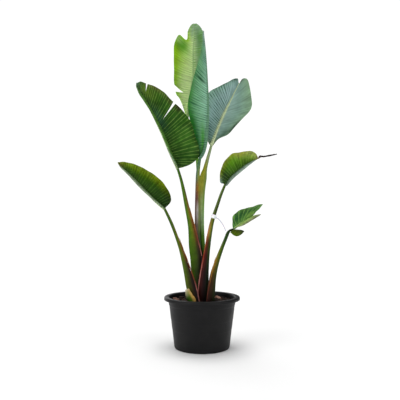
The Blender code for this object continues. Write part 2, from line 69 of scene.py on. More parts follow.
# The large chips lie in a ring. Some were turned up last, and still show their reddish bark.
CHIPS = 15
CHIP_RING = (0.066, 0.098)
FRESH_CHIPS = (1, 2, 7, 8)
FRESH_BARK, OLD_BARK = "#9c7464", "#33231b"
CHIP_BEVEL = 0.16
CHIP_UNEVENNESS = 0.22
SMALL_CHIPS = 420
SMALL_CHIP_TONES = (
    "#6a4c3e", "#4c342a", "#33231c", "#2a1d16", "#1c130e", "#1c130e", "#1c130e",
)

# A blade: its thickness, the rib under its midrib, the groove over it, the pleats between its
# side veins and the ripples along its margins. A calm half has little of the last three.
LAMINA = 0.0007
LAMINA_TAPER = 0.5
RIB_DEPTH = 0.0065
RIB_HALF_WIDTH = 0.0042
RIB_TAPER = 0.8
RIB_SHARE_MOST = 0.25
TIP_HALF_WIDTH = 0.0025
GROOVE = 0.0012
PLEAT = 0.0003
RIPPLE = 0.0008
RIPPLES_PER_METRE = 60
WAVES = 7
CALM_SHARE = 0.15
VEIN_SPACING = 0.0078
VEIN_DRIFT = 0.6
ROW_SPACING = 0.0016
RIB_COLUMNS = 4
LAMINA_COLUMNS = 16
TEAR_REACH = 0.05
# Parts in a mesh that lie closer than this share one place.
SAME = 1e-6

# A stalk: its top goes a little way into the rib, and a groove is a share of its width deep and
# some radians broad.
STALK_SIDES = 32
STALK_STEPS = 9
STALK_GROOVE = 0.10
STALK_GROOVE_BREADTH = 0.45
TOP_WIDTH = 0.0085
TOP_INSIDE = 0.004

# Each stalk: its centre line from its hole in the soil up, and its width across the fan and
# depth through it at each point. The broad lower stretch is the sheath that clasps the rest of
# the clump, and the stalk ends where the rib of its blade begins.
STALKS = {
    "low_left": (
        (-28, -36, 118, 40, 14), (-31, -36, 180, 36, 14), (-41, -36, 224, 31, 13),
        (-53.5, -38, 276, 23, 12), (-69.5, -42, 334, 16, 11), (-87, -46, 384, 11.5, 9.5),
        (-105.5, -50, 432, 10.5, 8.5),
    ),
    "tall_left": (
        (-14, -9, 118, 34, 13), (-16, -9, 198, 38, 14), (-20, -11, 294, 40, 14),
        (-27.5, -15, 354, 37, 14), (-37.5, -22, 418, 22.5, 14), (-51.5, -33, 484, 16, 13),
        (-68.7, -48, 566, 10.5, 10),
    ),
    "centre_front": (
        (-18, 11, 118, 20, 14), (-18, 11, 174, 20, 14), (-17, 11, 300, 18, 14),
        (-16.8, 9, 422, 18, 13), (-15.8, 4, 534, 16.5, 12), (-14, -4, 608, 13, 11),
    ),
    "right_back": (
        (7, 15, 118, 20, 14), (6, 16, 174, 20, 14), (5, 18, 298, 18, 14), (-1, 24, 422, 17, 13),
        (-0.5, 30, 528, 21, 12), (4.5, 34, 590, 25, 11), (11, 36, 622, 15.5, 10),
        (18, 39, 650, 12.5, 10),
    ),
    "young_back": (
        (-6, 38, 118, 18, 14), (-7, 39, 170, 17, 14), (-10, 44, 332, 15, 13),
        (-12, 52, 494, 13, 12), (-14, 60, 614, 12, 11), (-22, 68, 696, 10.5, 10),
        (-42, 78, 770, 9.5, 9.5),
    ),
    "arching_right": (
        (5, -26, 118, 36, 11), (5, -26, 186, 36, 12), (9, -27, 268, 29, 13),
        (17.5, -27, 336, 20.5, 13), (29.7, -27, 412, 15.5, 12), (40, -28, 452, 13, 12),
        (54, -29, 494, 11, 11), (65, -29, 526, 10, 10),
    ),
    "small_right": (
        (27, -43, 118, 28, 13), (30, -42, 184, 28, 13), (37, -42, 246, 23, 12),
        (50, -42, 296, 17, 11), (69, -42, 348, 12.5, 10), (79.7, -42, 374, 11.5, 9.5),
        (87.5, -43, 394, 11, 9), (95, -44, 404, 7.5, 7.5),
    ),
    "cut_stub": (
        (-24, -62, 118, 22, 10), (-32, -62, 162, 26, 10), (-43, -63, 186, 24, 9),
        (-51, -64, 208, 13, 5),
    ),
}

# Each blade: its midrib from the stalk to the tip, and the margin of each half. Sweep bends the
# side veins towards the tip, and lean shifts them further on at the margin. Arch is how far a
# half bulges, as a share of its width, and wave is the height of its waves. Calm is the half that
# lies nearly smooth, -1 for the left and 1 for the right. Rib scales the rib, and pale_rib is the
# half width of its pale band beneath, where that is wider than the rib. Groove is the side of the
# stalk that has a groove, in degrees. A tear is in the right half: (place along the midrib, share
# of the half that stays whole, opening).
BLADES = {
    "low_left": dict(
        midrib=((-125, -55, 479), (-160, -67, 508), (-204, -80, 554), (-247, -90, 596),
                (-280, -98, 630)),
        left=((-134, -80, 486), (-165, -112, 509), (-204, -128, 546), (-241, -130, 586),
              (-266, -118, 610)),
        right=((-105, -48, 506), (-115, -40, 540), (-141, -38, 576), (-178, -45, 604),
               (-221, -60, 626), (-258, -82, 634)),
        sweep=1.2, arch=0.1, wave=0.7, calm=-1, groove=-45,
    ),
    "tall_left": dict(
        midrib=((-80, -57, 614), (-106, -70, 666), (-135, -82, 732), (-177, -92, 814),
                (-212, -100, 864), (-218, -103, 896)),
        left=((-88, -92, 632), (-108, -135, 666), (-132, -160, 720), (-170, -165, 794),
              (-201, -150, 842), (-216, -125, 876)),
        right=((-62, -50, 620), (-36, -45, 632), (-12, -42, 656), (-12, -42, 690), (-22, -45, 724),
               (-36, -50, 768), (-56, -55, 802), (-89, -60, 834), (-142, -73, 882),
               (-179, -83, 896), (-204, -94, 902)),
        sweep=1.55, arch=0.08, wave=2, calm=-1, groove=-70,
        tears=((0.5, 0.25, 0.01), (0.8, 0.5, 0.01)),
    ),
    "centre_front": dict(
        midrib=((-9, -12, 656), (5, -14, 678), (15, -16, 726), (20, -18, 816), (18, -16, 922),
                (13, -12, 1030), (6, -8, 1108)),
        left=((4, 5, 690), (11, 25, 754), (16, 36, 836), (15, 35, 926), (10, 24, 1014),
              (7, 8, 1070)),
        right=((-16, -22, 686), (-31, -30, 742), (-46, -36, 804), (-48, -36, 848), (-38, -34, 900),
               (-24, -30, 956), (-8, -22, 1010), (1, -14, 1062)),
        sweep=1.4, arch=0.08, wave=1.5, lean=0.05,
    ),
    "young_back": dict(
        midrib=((-55, 85, 816), (-49, 88, 870), (-40, 90, 922), (-33, 90, 990), (-33, 88, 1064),
                (-30, 84, 1124), (-29, 80, 1168)),
        left=((-42, 90, 832), (-18, 95, 870), (-1, 98, 924), (6, 100, 992), (10, 100, 1068),
              (10, 97, 1120), (-1, 90, 1154), (-18, 84, 1168)),
        right=((-62, 83, 834), (-71, 80, 858), (-82, 77, 886), (-95, 74, 904), (-102, 70, 940),
               (-103, 66, 1014), (-103, 66, 1076), (-94, 67, 1108), (-81, 70, 1122),
               (-57, 78, 1106), (-52, 78, 1138), (-42, 79, 1160)),
        sweep=1.12, arch=0.12, wave=1.5, lean=0.04,
        tears=((0.25, 0.4, 0.028),),
    ),
    "right_back": dict(
        midrib=((34, 45, 706), (54, 50, 762), (75, 55, 814), (108, 58, 882), (136, 55, 938)),
        left=((58, 45, 730), (91, 45, 746), (115, 45, 770), (141, 45, 800), (169, 45, 828),
              (181, 45, 854), (179, 45, 884), (174, 45, 918), (167, 47, 946), (156, 49, 954),
              (145, 52, 951)),
        right=((20, 50, 726), (8, 58, 760), (4, 64, 812), (8, 66, 864), (24, 66, 904),
               (52, 64, 923), (78, 61, 935), (103, 59, 948), (120, 57, 955), (131, 56, 955)),
        sweep=1.35, arch=0.05, wave=1.5, pale_rib=6,
    ),
    "arching_right": dict(
        midrib=((77, -30, 562), (99, -35, 586), (122, -38, 604), (154, -40, 628), (193, -42, 650)),
        left=((63, -22, 570), (63, -12, 604), (78, 0, 644), (105, 4, 672), (134, 4, 678),
              (169, -3, 682), (188, -18, 670)),
        right=((84, -50, 556), (102, -78, 576), (125, -88, 596), (154, -83, 620), (179, -62, 640)),
        sweep=1.2, arch=0.14, wave=0.7, calm=1, groove=-130,
    ),
    "small_right": dict(
        midrib=((106, -45, 410), (135, -50, 432), (159, -53, 446), (174, -55, 454)),
        left=((104, -35, 432), (107, -28, 454), (131, -25, 474), (167, -30, 484), (207, -45, 494),
              (181, -54, 464)),
        right=((121, -65, 416), (139, -75, 422), (162, -80, 436), (197, -75, 458), (181, -60, 456)),
        sweep=1.15, arch=0.08, wave=1, rib=0.7, calm=1, groove=-130,
    ),
    "bract": dict(
        midrib=((96.6, -44, 398.5), (106, -45, 388), (119, -46, 384), (132, -47, 389),
                (144, -48, 401)),
        left=((102, -55, 405), (115, -61, 407), (134, -56, 406)),
        right=((102, -34, 405), (115, -30, 407), (134, -38, 406)),
        sweep=1, arch=0.09, wave=0, rib=0.5,
    ),
}

# The dried thread beyond the tip of the arching leaf, from the knot at its start.
THREAD_START = 0.0036
THREAD = (
    (199.5, -43.5, 657.5, 7.8, 7), (202, -43.7, 656.8, 4.6, 4.6), (204.5, -44, 657.2, 6.12, 5.44),
    (216, -46, 657, 5.1, 4.8), (235, -48, 660.5, 5.1, 4.8), (256, -50, 664.5, 3.06, 2.88),
)

# The white tie: a band round the arching stalk and the free end of its strap.
TIE_HEIGHT = 0.4515
TIE_INNER = 0.0072
TIE_OUTER = 0.0096
TIE_LENGTH = 0.013
TIE_STRAP = (
    (47, -31, 448, 3.2, 1.2), (57, -33, 442, 3.2, 1.2), (67, -38, 430, 3, 1.2),
    (75, -46, 416, 2.8, 1.2), (80, -53, 402, 2.4, 1.2),
)

# The colours of a blade's upper and under side: five across it from the left margin to the
# right, then its midrib, its base and its tip. After them comes how strongly the side veins show
# on each half, and then its marks: (along, across, reach along, reach across, colour, strength).
BASE_REACH = 0.16
TIP_REACH = 0.20
UPPER = ("#5a8a2c #4c7d20 #3a6c18 #4c7d20 #5a8a2c #6f9a4c #4a7c22 #6f8a38", (1, 1))
UNDER = ("#86a880 #88ac92 #9cbeb0 #88ac92 #86a880 #c6d49c #8aa272 #93ac94", (1, 1))
TONES = {
    # On the low left blade's upper side, the grey green of the left, near half is a painted
    # reflection of light at a grazing angle. The yellow-green of the right, upper margin and of the
    # mark at 0.72 along is painted light, where the top of the blade catches it.
    "low_left": (
        (
            "#98a88c #36541e #244a08 #2a5202 #788604 #30500f #0a2a00 #66681a", (0.2, 0.3),
            (0.12, 0.7, 0.15, 0.6, "#0a2c00", 0.95), (0.72, 0.75, 0.22, 0.35, "#6a8606", 0.6),
            (0.99, 0.1, 0.05, 0.3, "#6a5228", 0.7),
        ),
        UNDER,
    ),
    # On the tall left blade, the teal mark near the midrib at 0.55 along is a painted sheen, and
    # the dark mark at the right margin 0.22 along is a painted shadow.
    "tall_left": (
        (
            "#507a34 #3c6420 #1b4606 #1b4a04 #28580c #3c661a #123604 #47664c", (0.3, 0.85),
            (0.55, 0.14, 0.14, 0.16, "#2f6050", 0.5), (0.8, 0.55, 0.12, 0.3, "#587018", 0.7),
            (0.27, 0.55, 0.08, 0.4, "#3f741a", 0.5), (0.46, 0.98, 0.045, 0.14, "#26140c", 1),
            (0.53, 0.92, 0.05, 0.12, "#3b3a1d", 0.7), (0.72, 0.97, 0.13, 0.14, "#5c5a2a", 0.85),
            (0.99, 0, 0.05, 0.9, "#5c786c", 0.8), (0.22, 1, 0.14, 0.14, "#143404", 0.9),
        ),
        UNDER,
    ),
    # On the centre blade's underside, the marks from 0.24 to 0.03 along near the right margin
    # darken towards the base. They are painted shade along its rolled edge, and the near-black one
    # at 0.03 is a painted shadow.
    "centre_front": (
        UPPER,
        (
            "#88b294 #90bca0 #9cceb4 #80ba90 #70ac74 #6f9c7c #4a9038 #a4bcb4", (1, 1.1),
            (0.38, 1, 0.18, 0.2, "#3c8a2c", 0.9), (0.24, 0.88, 0.12, 0.32, "#1c7a06", 1),
            (0.13, 0.8, 0.11, 0.42, "#0c5c00", 1), (0.03, 0.7, 0.06, 0.6, "#062e00", 1),
            (0.15, 0.22, 0.12, 0.15, "#4ea82c", 0.9), (0.575, 0.55, 0.011, 0.42, "#0c4420", 1),
            (0.605, 0.55, 0.007, 0.38, "#2a6a48", 0.8), (0.635, 0.5, 0.006, 0.35, "#3a7a58", 0.7),
            (0.38, 0.72, 0.007, 0.2, "#145030", 0.9), (0.75, 0.35, 0.04, 0.3, "#6f9a8c", 0.6),
        ),
    ),
    "young_back": (
        (
            "#86ac5c #8cb84a #9cc25e #92be3a #96c426 #c4dca8 #c0d494 #a2c08a", (1, 1),
        ),
        # Painted light: on the young blade's underside, the near-white and bright yellow-green from
        # its midrib across its right half, at its base and in the marks at 0.52, 0.32 and 0.13
        # along stand in for light shining through it from behind.
        (
            "#7ea08c #8aac88 #dce8c0 #e4f2a8 #b4dc00 #b0c69a #dde6bc #9cb89c", (1.3, 1),
            (0.52, 0.9, 0.36, 0.56, "#a8d000", 0.95), (0.7, 0.62, 0.07, 0.4, "#4e9c00", 0.95),
            (0.725, 0.95, 0.035, 0.3, "#aac880", 0.95), (0.32, 0.4, 0.2, 0.34, "#f2fad0", 0.8),
            (0.13, 0.6, 0.09, 0.7, "#fafede", 0.95), (0.84, -0.6, 0.07, 0.3, "#5e9044", 0.7),
            (0.7, -0.55, 0.05, 0.25, "#6f9848", 0.5), (0.93, 0.1, 0.09, 0.4, "#94b09a", 0.8),
        ),
    ),
    "right_back": (
        UPPER,
        (
            "#86a684 #84a496 #9cbcb4 #98bab8 #90baa4 #dce8b8 #748a60 #8aaca2", (0.3, 1.35),
            (0.9, -0.98, 0.05, 0.22, "#122a0c", 1), (0.86, 0.99, 0.055, 0.15, "#1a3214", 1),
            (0.7, 1, 0.1, 0.05, "#3c5c3c", 0.8), (0.72, 0.5, 0.18, 0.4, "#b4d2d2", 0.6),
            (0.25, -0.98, 0.08, 0.18, "#1c3424", 0.95), (0.16, -0.6, 0.07, 0.3, "#3c5a44", 0.7),
            (0.16, 0.55, 0.1, 0.35, "#4c6c62", 0.7),
        ),
    ),
    "arching_right": (
        (
            "#888c22 #4c7a0a #284c0e #1e3c1e #84948a #3c5a34 #16340a #7c7c3e", (0.4, 0.2),
            (0.16, -0.4, 0.13, 0.42, "#082404", 0.95), (0.03, -0.95, 0.07, 0.3, "#86a298", 1),
            (0.42, -0.6, 0.1, 0.25, "#5a9018", 0.5), (0.6, -0.8, 0.1, 0.3, "#8e8c24", 0.5),
            (0.78, -0.7, 0.12, 0.4, "#8c9c3c", 0.7), (1, -0.4, 0.07, 0.7, "#7c7238", 0.8),
        ),
        (
            "#86a882 #88a894 #90b0a0 #90a890 #98ac96 #a2b292 #86a090 #98a886", (1, 1),
        ),
    ),
    "small_right": (
        (
            "#56843a #265a2c #588a3a #8eac56 #8c9c74 #bcd294 #4a8038 #7c9c52", (1, 0.3),
            (0.33, -0.5, 0.2, 0.32, "#184a24", 0.9), (1, -0.6, 0.14, 0.6, "#38441f", 0.9),
            (0.7, -0.3, 0.2, 0.22, "#7ca044", 0.6), (0.55, 1, 0.4, 0.25, "#6a5c4a", 0.8),
            (1, 0.6, 0.14, 0.6, "#5c5448", 0.9),
        ),
        UNDER,
    ),
    # The bract is painted darker at its margins and lighter in its middle: painted shade.
    "bract": (
        (
            "#3c4a0c #4c600a #52700c #4c600a #2c380c #6a8418 #1c2a08 #2a321c", (1, 1),
            (0.9, 0, 0.25, 1.2, "#2a321c", 0.9),
        ),
        (
            "#2c380c #4c620c #6a8a14 #5c7810 #2c380c #7a961a #1c2a08 #2a321c", (1, 1),
            (0.9, 0, 0.25, 1.2, "#2a321c", 0.9),
        ),
    ),
}

# The colours up each stalk: height, then its left, front and right as the fan is faced.
STALK_TONES = {
    "low_left": (
        (160, "#40500e #3a1a08 #1c0804"), (220, "#48560c #2e3008 #180804"),
        (280, "#486010 #384608 #301406"), (340, "#486008 #535808 #704a18"),
        (380, "#385206 #445c06 #6c6020"), (440, "#304c0a #38580a #4e5e1c"),
    ),
    # The near-black right side of the tall left stalk up to 330 mm is a painted shadow.
    "tall_left": (
        (160, "#284208 #202c0a #1a0e06"), (260, "#3a5608 #2c3c0c #16120c"),
        (330, "#406206 #3a5206 #2a1e12"), (400, "#3c6208 #566806 #623a12"),
        (470, "#3e6608 #58680c #744e1e"), (560, "#44680e #3e640a #3c4c10"),
        (620, "#3c6a10 #30580c #345014"),
    ),
    "centre_front": (
        (160, "#121e08 #182408 #180c08"), (290, "#222c1c #5c685e #1c1c14"),
        (360, "#2c2e24 #3c4238 #28301c"), (410, "#4c3a30 #6a5a50 #5a7038"),
        (470, "#5c4438 #aca6a2 #7c8250"), (520, "#5c3830 #6c4438 #6a6a24"),
        (550, "#6a5030 #845a20 #8c7c1c"), (600, "#4a6a50 #6a7c48 #7c8428"),
        (640, "#40684c #54805c #467040"),
    ),
    "right_back": (
        (160, "#10160a #121a0a #10200a"), (300, "#1c2412 #203010 #1e3810"),
        (380, "#345010 #508018 #46721c"), (440, "#6c8448 #90a87c #729a54"),
        (500, "#7c8848 #94a868 #6a8e3c"), (560, "#848428 #949434 #74883a"),
        (620, "#7c7c14 #98982c #788838"), (680, "#7a8c54 #96a878 #849470"),
    ),
    "young_back": (
        (160, "#182408 #182408 #182408"), (450, "#34600c #3a640c #305a0c"),
        (620, "#487810 #4c8018 #447410"), (800, "#8aa05c #9ab06a #8aa05c"),
    ),
    "arching_right": (
        (160, "#2a0604 #120202 #06100a"), (250, "#380806 #180202 #081a06"),
        (310, "#5c1408 #2c0a02 #183008"), (360, "#6c1e0c #3c2606 #24480c"),
        (400, "#9a6830 #6e6a1e #344c08"), (445, "#6c6828 #565c0e #384a0a"),
        (470, "#586838 #384810 #2a3a08"), (560, "#566c34 #425810 #2e440c"),
    ),
    "small_right": (
        (160, "#2c100a #180804 #121c06"), (230, "#44200e #34220a #222a06"),
        (290, "#8c6414 #544a08 #304204"), (330, "#5e6408 #3a5204 #2c4604"),
        (380, "#244408 #1c3c06 #183406"), (410, "#182c08 #142608 #142608"),
    ),
    "cut_stub": (
        (150, "#1c3408 #2c4c06 #8a6a34"), (180, "#284808 #365808 #b8924a"),
        (198, "#a09a78 #8a8a4a #c0a060"), (208, "#d2c8ae #cabf9c #c8b07c"),
    ),
}

# The dry margin of each sheath, where it laps over its neighbours: its colours from the top
# down, and its points.
SHEATH_MARGINS = {
    "low_left": (
        "#6a5a24 #8a4c20 #6a3024 #a8706c",
        (-76.5, -49, 379, 1.125, 0.8), (-62.7, -47, 338, 2.25, 1), (-52.8, -46, 314, 2.25, 1),
        (-40.9, -46, 280, 2.55, 1), (-27.3, -47, 240, 3.15, 1), (-17.1, -48, 204, 3.45, 1),
        (-8.3, -48, 158, 3.3, 1),
    ),
    "tall_left": (
        "#90701c #94602c #6c3024 #a0645c",
        (-42, -34, 482, 0.9, 0.8), (-32.8, -31, 446, 2.4, 1), (-23.5, -29, 412, 3.15, 1),
        (-11.5, -30, 364, 3.3, 1), (-0.5, -32, 317, 2.25, 0.8),
    ),
    "arching_right": (
        "#a8783c #802c14 #a86c64 #5c2820",
        (15.9, -36, 385, 1.2, 0.8), (10.8, -36, 347, 3, 1), (3.2, -36, 303, 3.45, 1),
        (-5.6, -37, 256, 3.75, 1), (-11.8, -38, 212, 3, 1), (-15.1, -38, 160, 2.55, 1),
    ),
    "small_right": (
        "#a0803c #8a6424 #5c2c1c #4a2420",
        (45.2, -49, 314, 1.05, 0.8), (38, -49, 281, 2.25, 1), (28.8, -50, 237, 2.7, 1),
        (20.7, -51, 200, 2.7, 1), (14.6, -51, 158, 2.7, 1),
    ),
}


def linear(code):
    """An sRGB hex colour as linear values."""
    values = [int(code[i : i + 2], 16) / 255 for i in (1, 3, 5)]
    return Vector([v / 12.92 if v <= 0.04045 else ((v + 0.055) / 1.055) ** 2.4 for v in values])


def rgba(code):
    return (*linear(code), 1.0)


def palette(codes):
    """Several hex colours in one string, as linear values."""
    return [linear(code) for code in codes.split()]


def gradient(colours, share):
    """The colour at a share of the way along evenly spaced ones."""
    last = len(colours) - 1
    place = min(share * last, last - 0.0001)
    return colours[int(place)].lerp(colours[int(place) + 1], place - int(place))


def metres(rows):
    """Rows of millimetres as rows of metres."""
    return [[value / 1000 for value in row] for row in rows]


def ease(share):
    """0 to 1, slow at both ends."""
    share = min(max(share, 0.0), 1.0)
    return share * share * (3 - 2 * share)


def smooth_span(points, span, steps):
    """Steps + 1 points of the smooth curve through the points, from points[span] to the next."""
    before = points[max(span - 1, 0)]
    start, end = points[span], points[span + 1]
    after = points[min(span + 2, len(points) - 1)]
    return interpolate_bezier(
        start, start + (end - before) / 6, end - (after - start) / 6, end, steps + 1
    )


def piece(name, bm, materials, slot, *nodes, crease=40):
    """Makes the object of a finished mesh. Edges sharper than crease degrees stay crisp."""
    bmesh.ops.recalc_face_normals(bm, faces=bm.faces[:])
    for face in bm.faces:
        face.smooth = True
    for edge in bm.edges:
        edge.smooth = edge.calc_face_angle(0.0) < radians(crease)
    made = bare(name, bm, materials)
    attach(made, "root")
    if nodes:
        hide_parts(*nodes)
    return made


def bare(name, bm, materials=()):
    """The object of a mesh, not yet part of the plant."""
    mesh = bpy.data.meshes.new(name)
    bm.to_mesh(mesh)
    bm.free()
    for material in materials:
        mesh.materials.append(material)
    return placed(name, mesh)


def placed(name, data):
    """The object of a mesh, a lamp or a lens, in the scene."""
    made = bpy.data.objects.new(name, data)
    bpy.context.scene.collection.objects.link(made)
    return made


class Finish:
    """The nodes of a material, or of the room, with the shader that the others feed."""

    def __init__(self, name, kind="materials", shader="Principled BSDF", **inputs):
        self.owner = getattr(bpy.data, kind).new(name)
        self.owner.use_nodes = True
        self.nodes = self.owner.node_tree.nodes
        self.links = self.owner.node_tree.links
        self.shader = self.nodes[shader]
        self.feed(self.shader, inputs)

    def feed(self, node, inputs):
        """Makes a node's settings, and sets or links its sockets.

        A socket goes by its name, with _ for a space, or by its number, as i0.
        """
        for name, value in inputs.items():
            if hasattr(node, name):
                setattr(node, name, value)
                continue
            socket = node.inputs[int(name[1:]) if name[1:].isdigit() else name.replace("_", " ")]
            if isinstance(value, bpy.types.NodeSocket):
                self.links.new(value, socket)
            else:
                socket.default_value = value

    def add(self, kind, out=0, **inputs):
        """Adds one node with its settings and inputs, and returns one of its outputs."""
        node = self.nodes.new("ShaderNode" + kind)
        self.feed(node, inputs)
        return node.outputs[out]

    def done(self, **inputs):
        """Feeds the shader, and gives the material."""
        self.feed(self.shader, inputs)
        return self.owner


# Nearly all of a noise lies in this range.
BULK = {"From_Min": 0.3, "From_Max": 0.7}
# The outputs of a Texture Coordinate, an Attribute, a Voronoi and a colour Mix that are used.
OBJECT, ALPHA, CELL_COLOUR, MIXED = 3, 3, 1, 2


def lamina_finish(name, vein, vein_share, glow, roughness, clear, bands=(0.72, 1.22), breadth=0.2):
    """Leaf skin: its broad colours come with the mesh, and its side veins follow the UV map.

    The map counts side veins along the leaf. Between two of them run finer ones, at about a
    sixth of their 8 mm spacing, and each strip between veins has a lightness of its own. The
    skin is patchy over some 20 mm and finely speckled. Glow is the share of light that comes
    through it, and clear is the colour of that light. Bands are the darkest and the lightest
    strip, and breadth is the half width of a side vein, as a share of their spacing.
    """
    made = Finish(name, Roughness=roughness, IOR=1.42, Specular_IOR_Level=0.1)
    add = made.add
    tint = add("Attribute", attribute_name="tint")
    strength = add("Attribute", ALPHA, attribute_name="tint")
    spot = add("TexCoord", OBJECT)
    cut = add("UVMap", uv_map="veins")
    count = add("SeparateXYZ", Vector=cut)
    main = add("Math", operation="PINGPONG", i0=count, i1=0.5)
    many = add("Math", operation="MULTIPLY", i0=count, i1=6.0)
    fine = add("Math", operation="PINGPONG", i0=many, i1=0.5)
    line, hair = [
        add(
            "MapRange", interpolation_type="SMOOTHSTEP",
            Value=vein_wave, From_Min=0.0, From_Max=half, To_Min=height, To_Max=0.0,
        )
        for vein_wave, half, height in ((main, breadth, 1.0), (fine, 0.25, 0.3))
    ]
    lines = add("Math", operation="MAXIMUM", i0=line, i1=hair)
    patches = add("TexNoise", Vector=spot, Scale=45.0, Detail=3.0, Roughness=0.55)
    wear = add("MapRange", Value=patches, From_Min=0.35, From_Max=0.6, To_Min=0.3, To_Max=1.0)
    share = lines
    for factor in (wear, strength, vein_share):
        share = add("Math", operation="MULTIPLY", i0=share, i1=factor)
    strips = add("Mapping", Vector=cut, Scale=(1.1, 1.6, 1.0))
    strip = add("TexNoise", Vector=strips, Scale=1.0, Detail=2.0, Roughness=0.7)
    lightness = add("MapRange", Value=strip, **BULK, To_Min=bands[0], To_Max=bands[1])
    # Painted shade: each strip between side veins is painted lighter at the veins and darker
    # midway, standing in for the shading of its pleats.
    pleat_shade = add("MapRange", Value=main, From_Min=0.0, From_Max=0.5, To_Min=1.08, To_Max=0.88)
    dapple = add("MapRange", Value=patches, **BULK, To_Min=0.88, To_Max=1.12)
    skin = tint
    for factor in (pleat_shade, lightness, dapple):
        skin = add("VectorMath", operation="SCALE", Vector=skin, Scale=factor)
    colour = add("Mix", MIXED, data_type="RGBA", i0=share, i6=skin, i7=rgba(vein))
    specks = add("TexNoise", Vector=spot, Scale=900.0, Detail=2.0)
    relief = add("Math", operation="MULTIPLY_ADD", i0=specks, i1=0.5, i2=lines)
    bump = add("Bump", Height=relief, Strength=0.3, Distance=0.0004)
    through = add("VectorMath", operation="MULTIPLY", i0=colour, i1=clear)
    glowing = add("BsdfTranslucent", Color=through, Normal=bump)
    both = add("MixShader", i0=glow, i1=made.shader.outputs[0], i2=glowing)
    made.feed(made.nodes["Material Output"], {"Surface": both})
    return made.done(Base_Color=colour, Normal=bump)


def stalk_finish(name, roughness, fibre_dark, fibre_light, relief):
    """Stalk skin: broad colours from the mesh, and fibres about 0.7 mm apart along its length."""
    made = Finish(name, IOR=1.42, Specular_IOR_Level=0.15)
    add = made.add
    tint = add("Attribute", attribute_name="tint")
    spot = add("TexCoord", OBJECT)
    around = add("UVMap", uv_map="skin")
    fibres = add("Mapping", Vector=around, Scale=(1400.0, 28.0, 1.0))
    grain = add("TexNoise", Vector=fibres, Scale=1.0, Detail=3.0, Roughness=0.6)
    blotch = add("TexNoise", Vector=spot, Scale=70.0, Detail=4.0, Roughness=0.6)
    colour = tint
    for noisy, dark, light in ((grain, fibre_dark, fibre_light), (blotch, 0.8, 1.15)):
        shade = add("MapRange", Value=noisy, **BULK, To_Min=dark, To_Max=light)
        colour = add("VectorMath", operation="SCALE", Vector=colour, Scale=shade)
    gloss = add("MapRange", Value=blotch, **BULK, To_Min=roughness - 0.06, To_Max=roughness + 0.08)
    bump = add("Bump", Height=grain, Strength=relief, Distance=0.0004)
    return made.done(Base_Color=colour, Roughness=gloss, Normal=bump)


def moulded_finish():
    """Recycled black polypropylene: nearly black, satin, with a faint orange-peel skin."""
    made = Finish("moulded_black_polypropylene", IOR=1.49, Specular_IOR_Level=0.15)
    add = made.add
    spot = add("TexCoord", OBJECT)
    peel = add("TexNoise", Vector=spot, Scale=700.0, Detail=2.0)
    cloud = add("TexNoise", Vector=spot, Scale=22.0, Detail=4.0, Roughness=0.6)
    # Rings about 2 mm apart, left by the mould.
    flow = add("Mapping", Vector=spot, Scale=(9.0, 9.0, 420.0))
    rings = add("TexNoise", Vector=flow, Scale=1.0, Detail=3.0)
    black, sheen, grey = rgba("#0b0b0c"), rgba("#141415"), rgba("#4a4744")
    tone = add("Mix", MIXED, data_type="RGBA", i0=cloud, i6=black, i7=sheen)
    dust = add("MapRange", Value=cloud, From_Min=0.45, From_Max=0.8, To_Min=0.0, To_Max=0.05)
    tone = add("Mix", MIXED, data_type="RGBA", i0=dust, i6=tone, i7=grey)
    gloss = add("MapRange", Value=cloud, **BULK, To_Min=0.42, To_Max=0.56)
    height = add("Math", operation="MULTIPLY_ADD", i0=rings, i1=0.4, i2=peel)
    bump = add("Bump", Height=height, Strength=0.25, Distance=0.0003)
    return made.done(Base_Color=tone, Roughness=gloss, Normal=bump)


def soil_finish():
    """Peat potting mix: dark brown crumbs of 2 to 4 mm with paler fibres among them."""
    made = Finish("peat_potting_mix", Roughness=0.95, Specular_IOR_Level=0.1)
    add = made.add
    spot = add("TexCoord", OBJECT)
    crumbs = add("TexVoronoi", CELL_COLOUR, feature="F1", Vector=spot, Scale=330.0)
    grey = add("SeparateColor", Color=crumbs)
    clods = add("TexNoise", Vector=spot, Scale=110.0, Detail=5.0, Roughness=0.7)
    wet, dry, straw = rgba("#090605"), rgba("#1c120d"), rgba("#33251b")
    tone = add("Mix", MIXED, data_type="RGBA", i0=grey, i6=wet, i7=dry)
    pale = add("MapRange", Value=clods, From_Min=0.58, From_Max=0.75, To_Min=0.0, To_Max=0.4)
    tone = add("Mix", MIXED, data_type="RGBA", i0=pale, i6=tone, i7=straw)
    bump = add("Bump", Height=clods, Strength=0.9, Distance=0.002)
    return made.done(Base_Color=tone, Normal=bump)


def bark_finish():
    """Pine bark nuggets: pinkish tan where freshly split, brown where weathered."""
    made = Finish("split_pine_bark", Roughness=0.85, Specular_IOR_Level=0.2)
    add = made.add
    tint = add("Attribute", attribute_name="tint")
    spot = add("TexCoord", OBJECT)
    layers = add("TexNoise", Vector=spot, Scale=420.0, Detail=4.0, Roughness=0.7)
    shade = add("MapRange", Value=layers, **BULK, To_Min=0.55, To_Max=1.3)
    colour = add("VectorMath", operation="SCALE", Vector=tint, Scale=shade)
    bump = add("Bump", Height=layers, Strength=0.8, Distance=0.001)
    return made.done(Base_Color=colour, Normal=bump)


def nylon_finish(name, deep, pale):
    """Nylon: clean, satin, and a little milky where it is thin."""
    made = Finish(
        name, IOR=1.53, Specular_IOR_Level=0.4, Subsurface_Weight=0.15, Subsurface_Scale=0.002
    )
    add = made.add
    spot = add("TexCoord", OBJECT)
    haze = add("TexNoise", Vector=spot, Scale=160.0, Detail=2.0)
    tone = add("Mix", MIXED, data_type="RGBA", i0=haze, i6=rgba(deep), i7=rgba(pale))
    gloss = add("MapRange", Value=haze, **BULK, To_Min=0.32, To_Max=0.46)
    bump = add("Bump", Height=haze, Strength=0.15, Distance=0.0003)
    return made.done(Base_Color=tone, Roughness=gloss, Normal=bump)


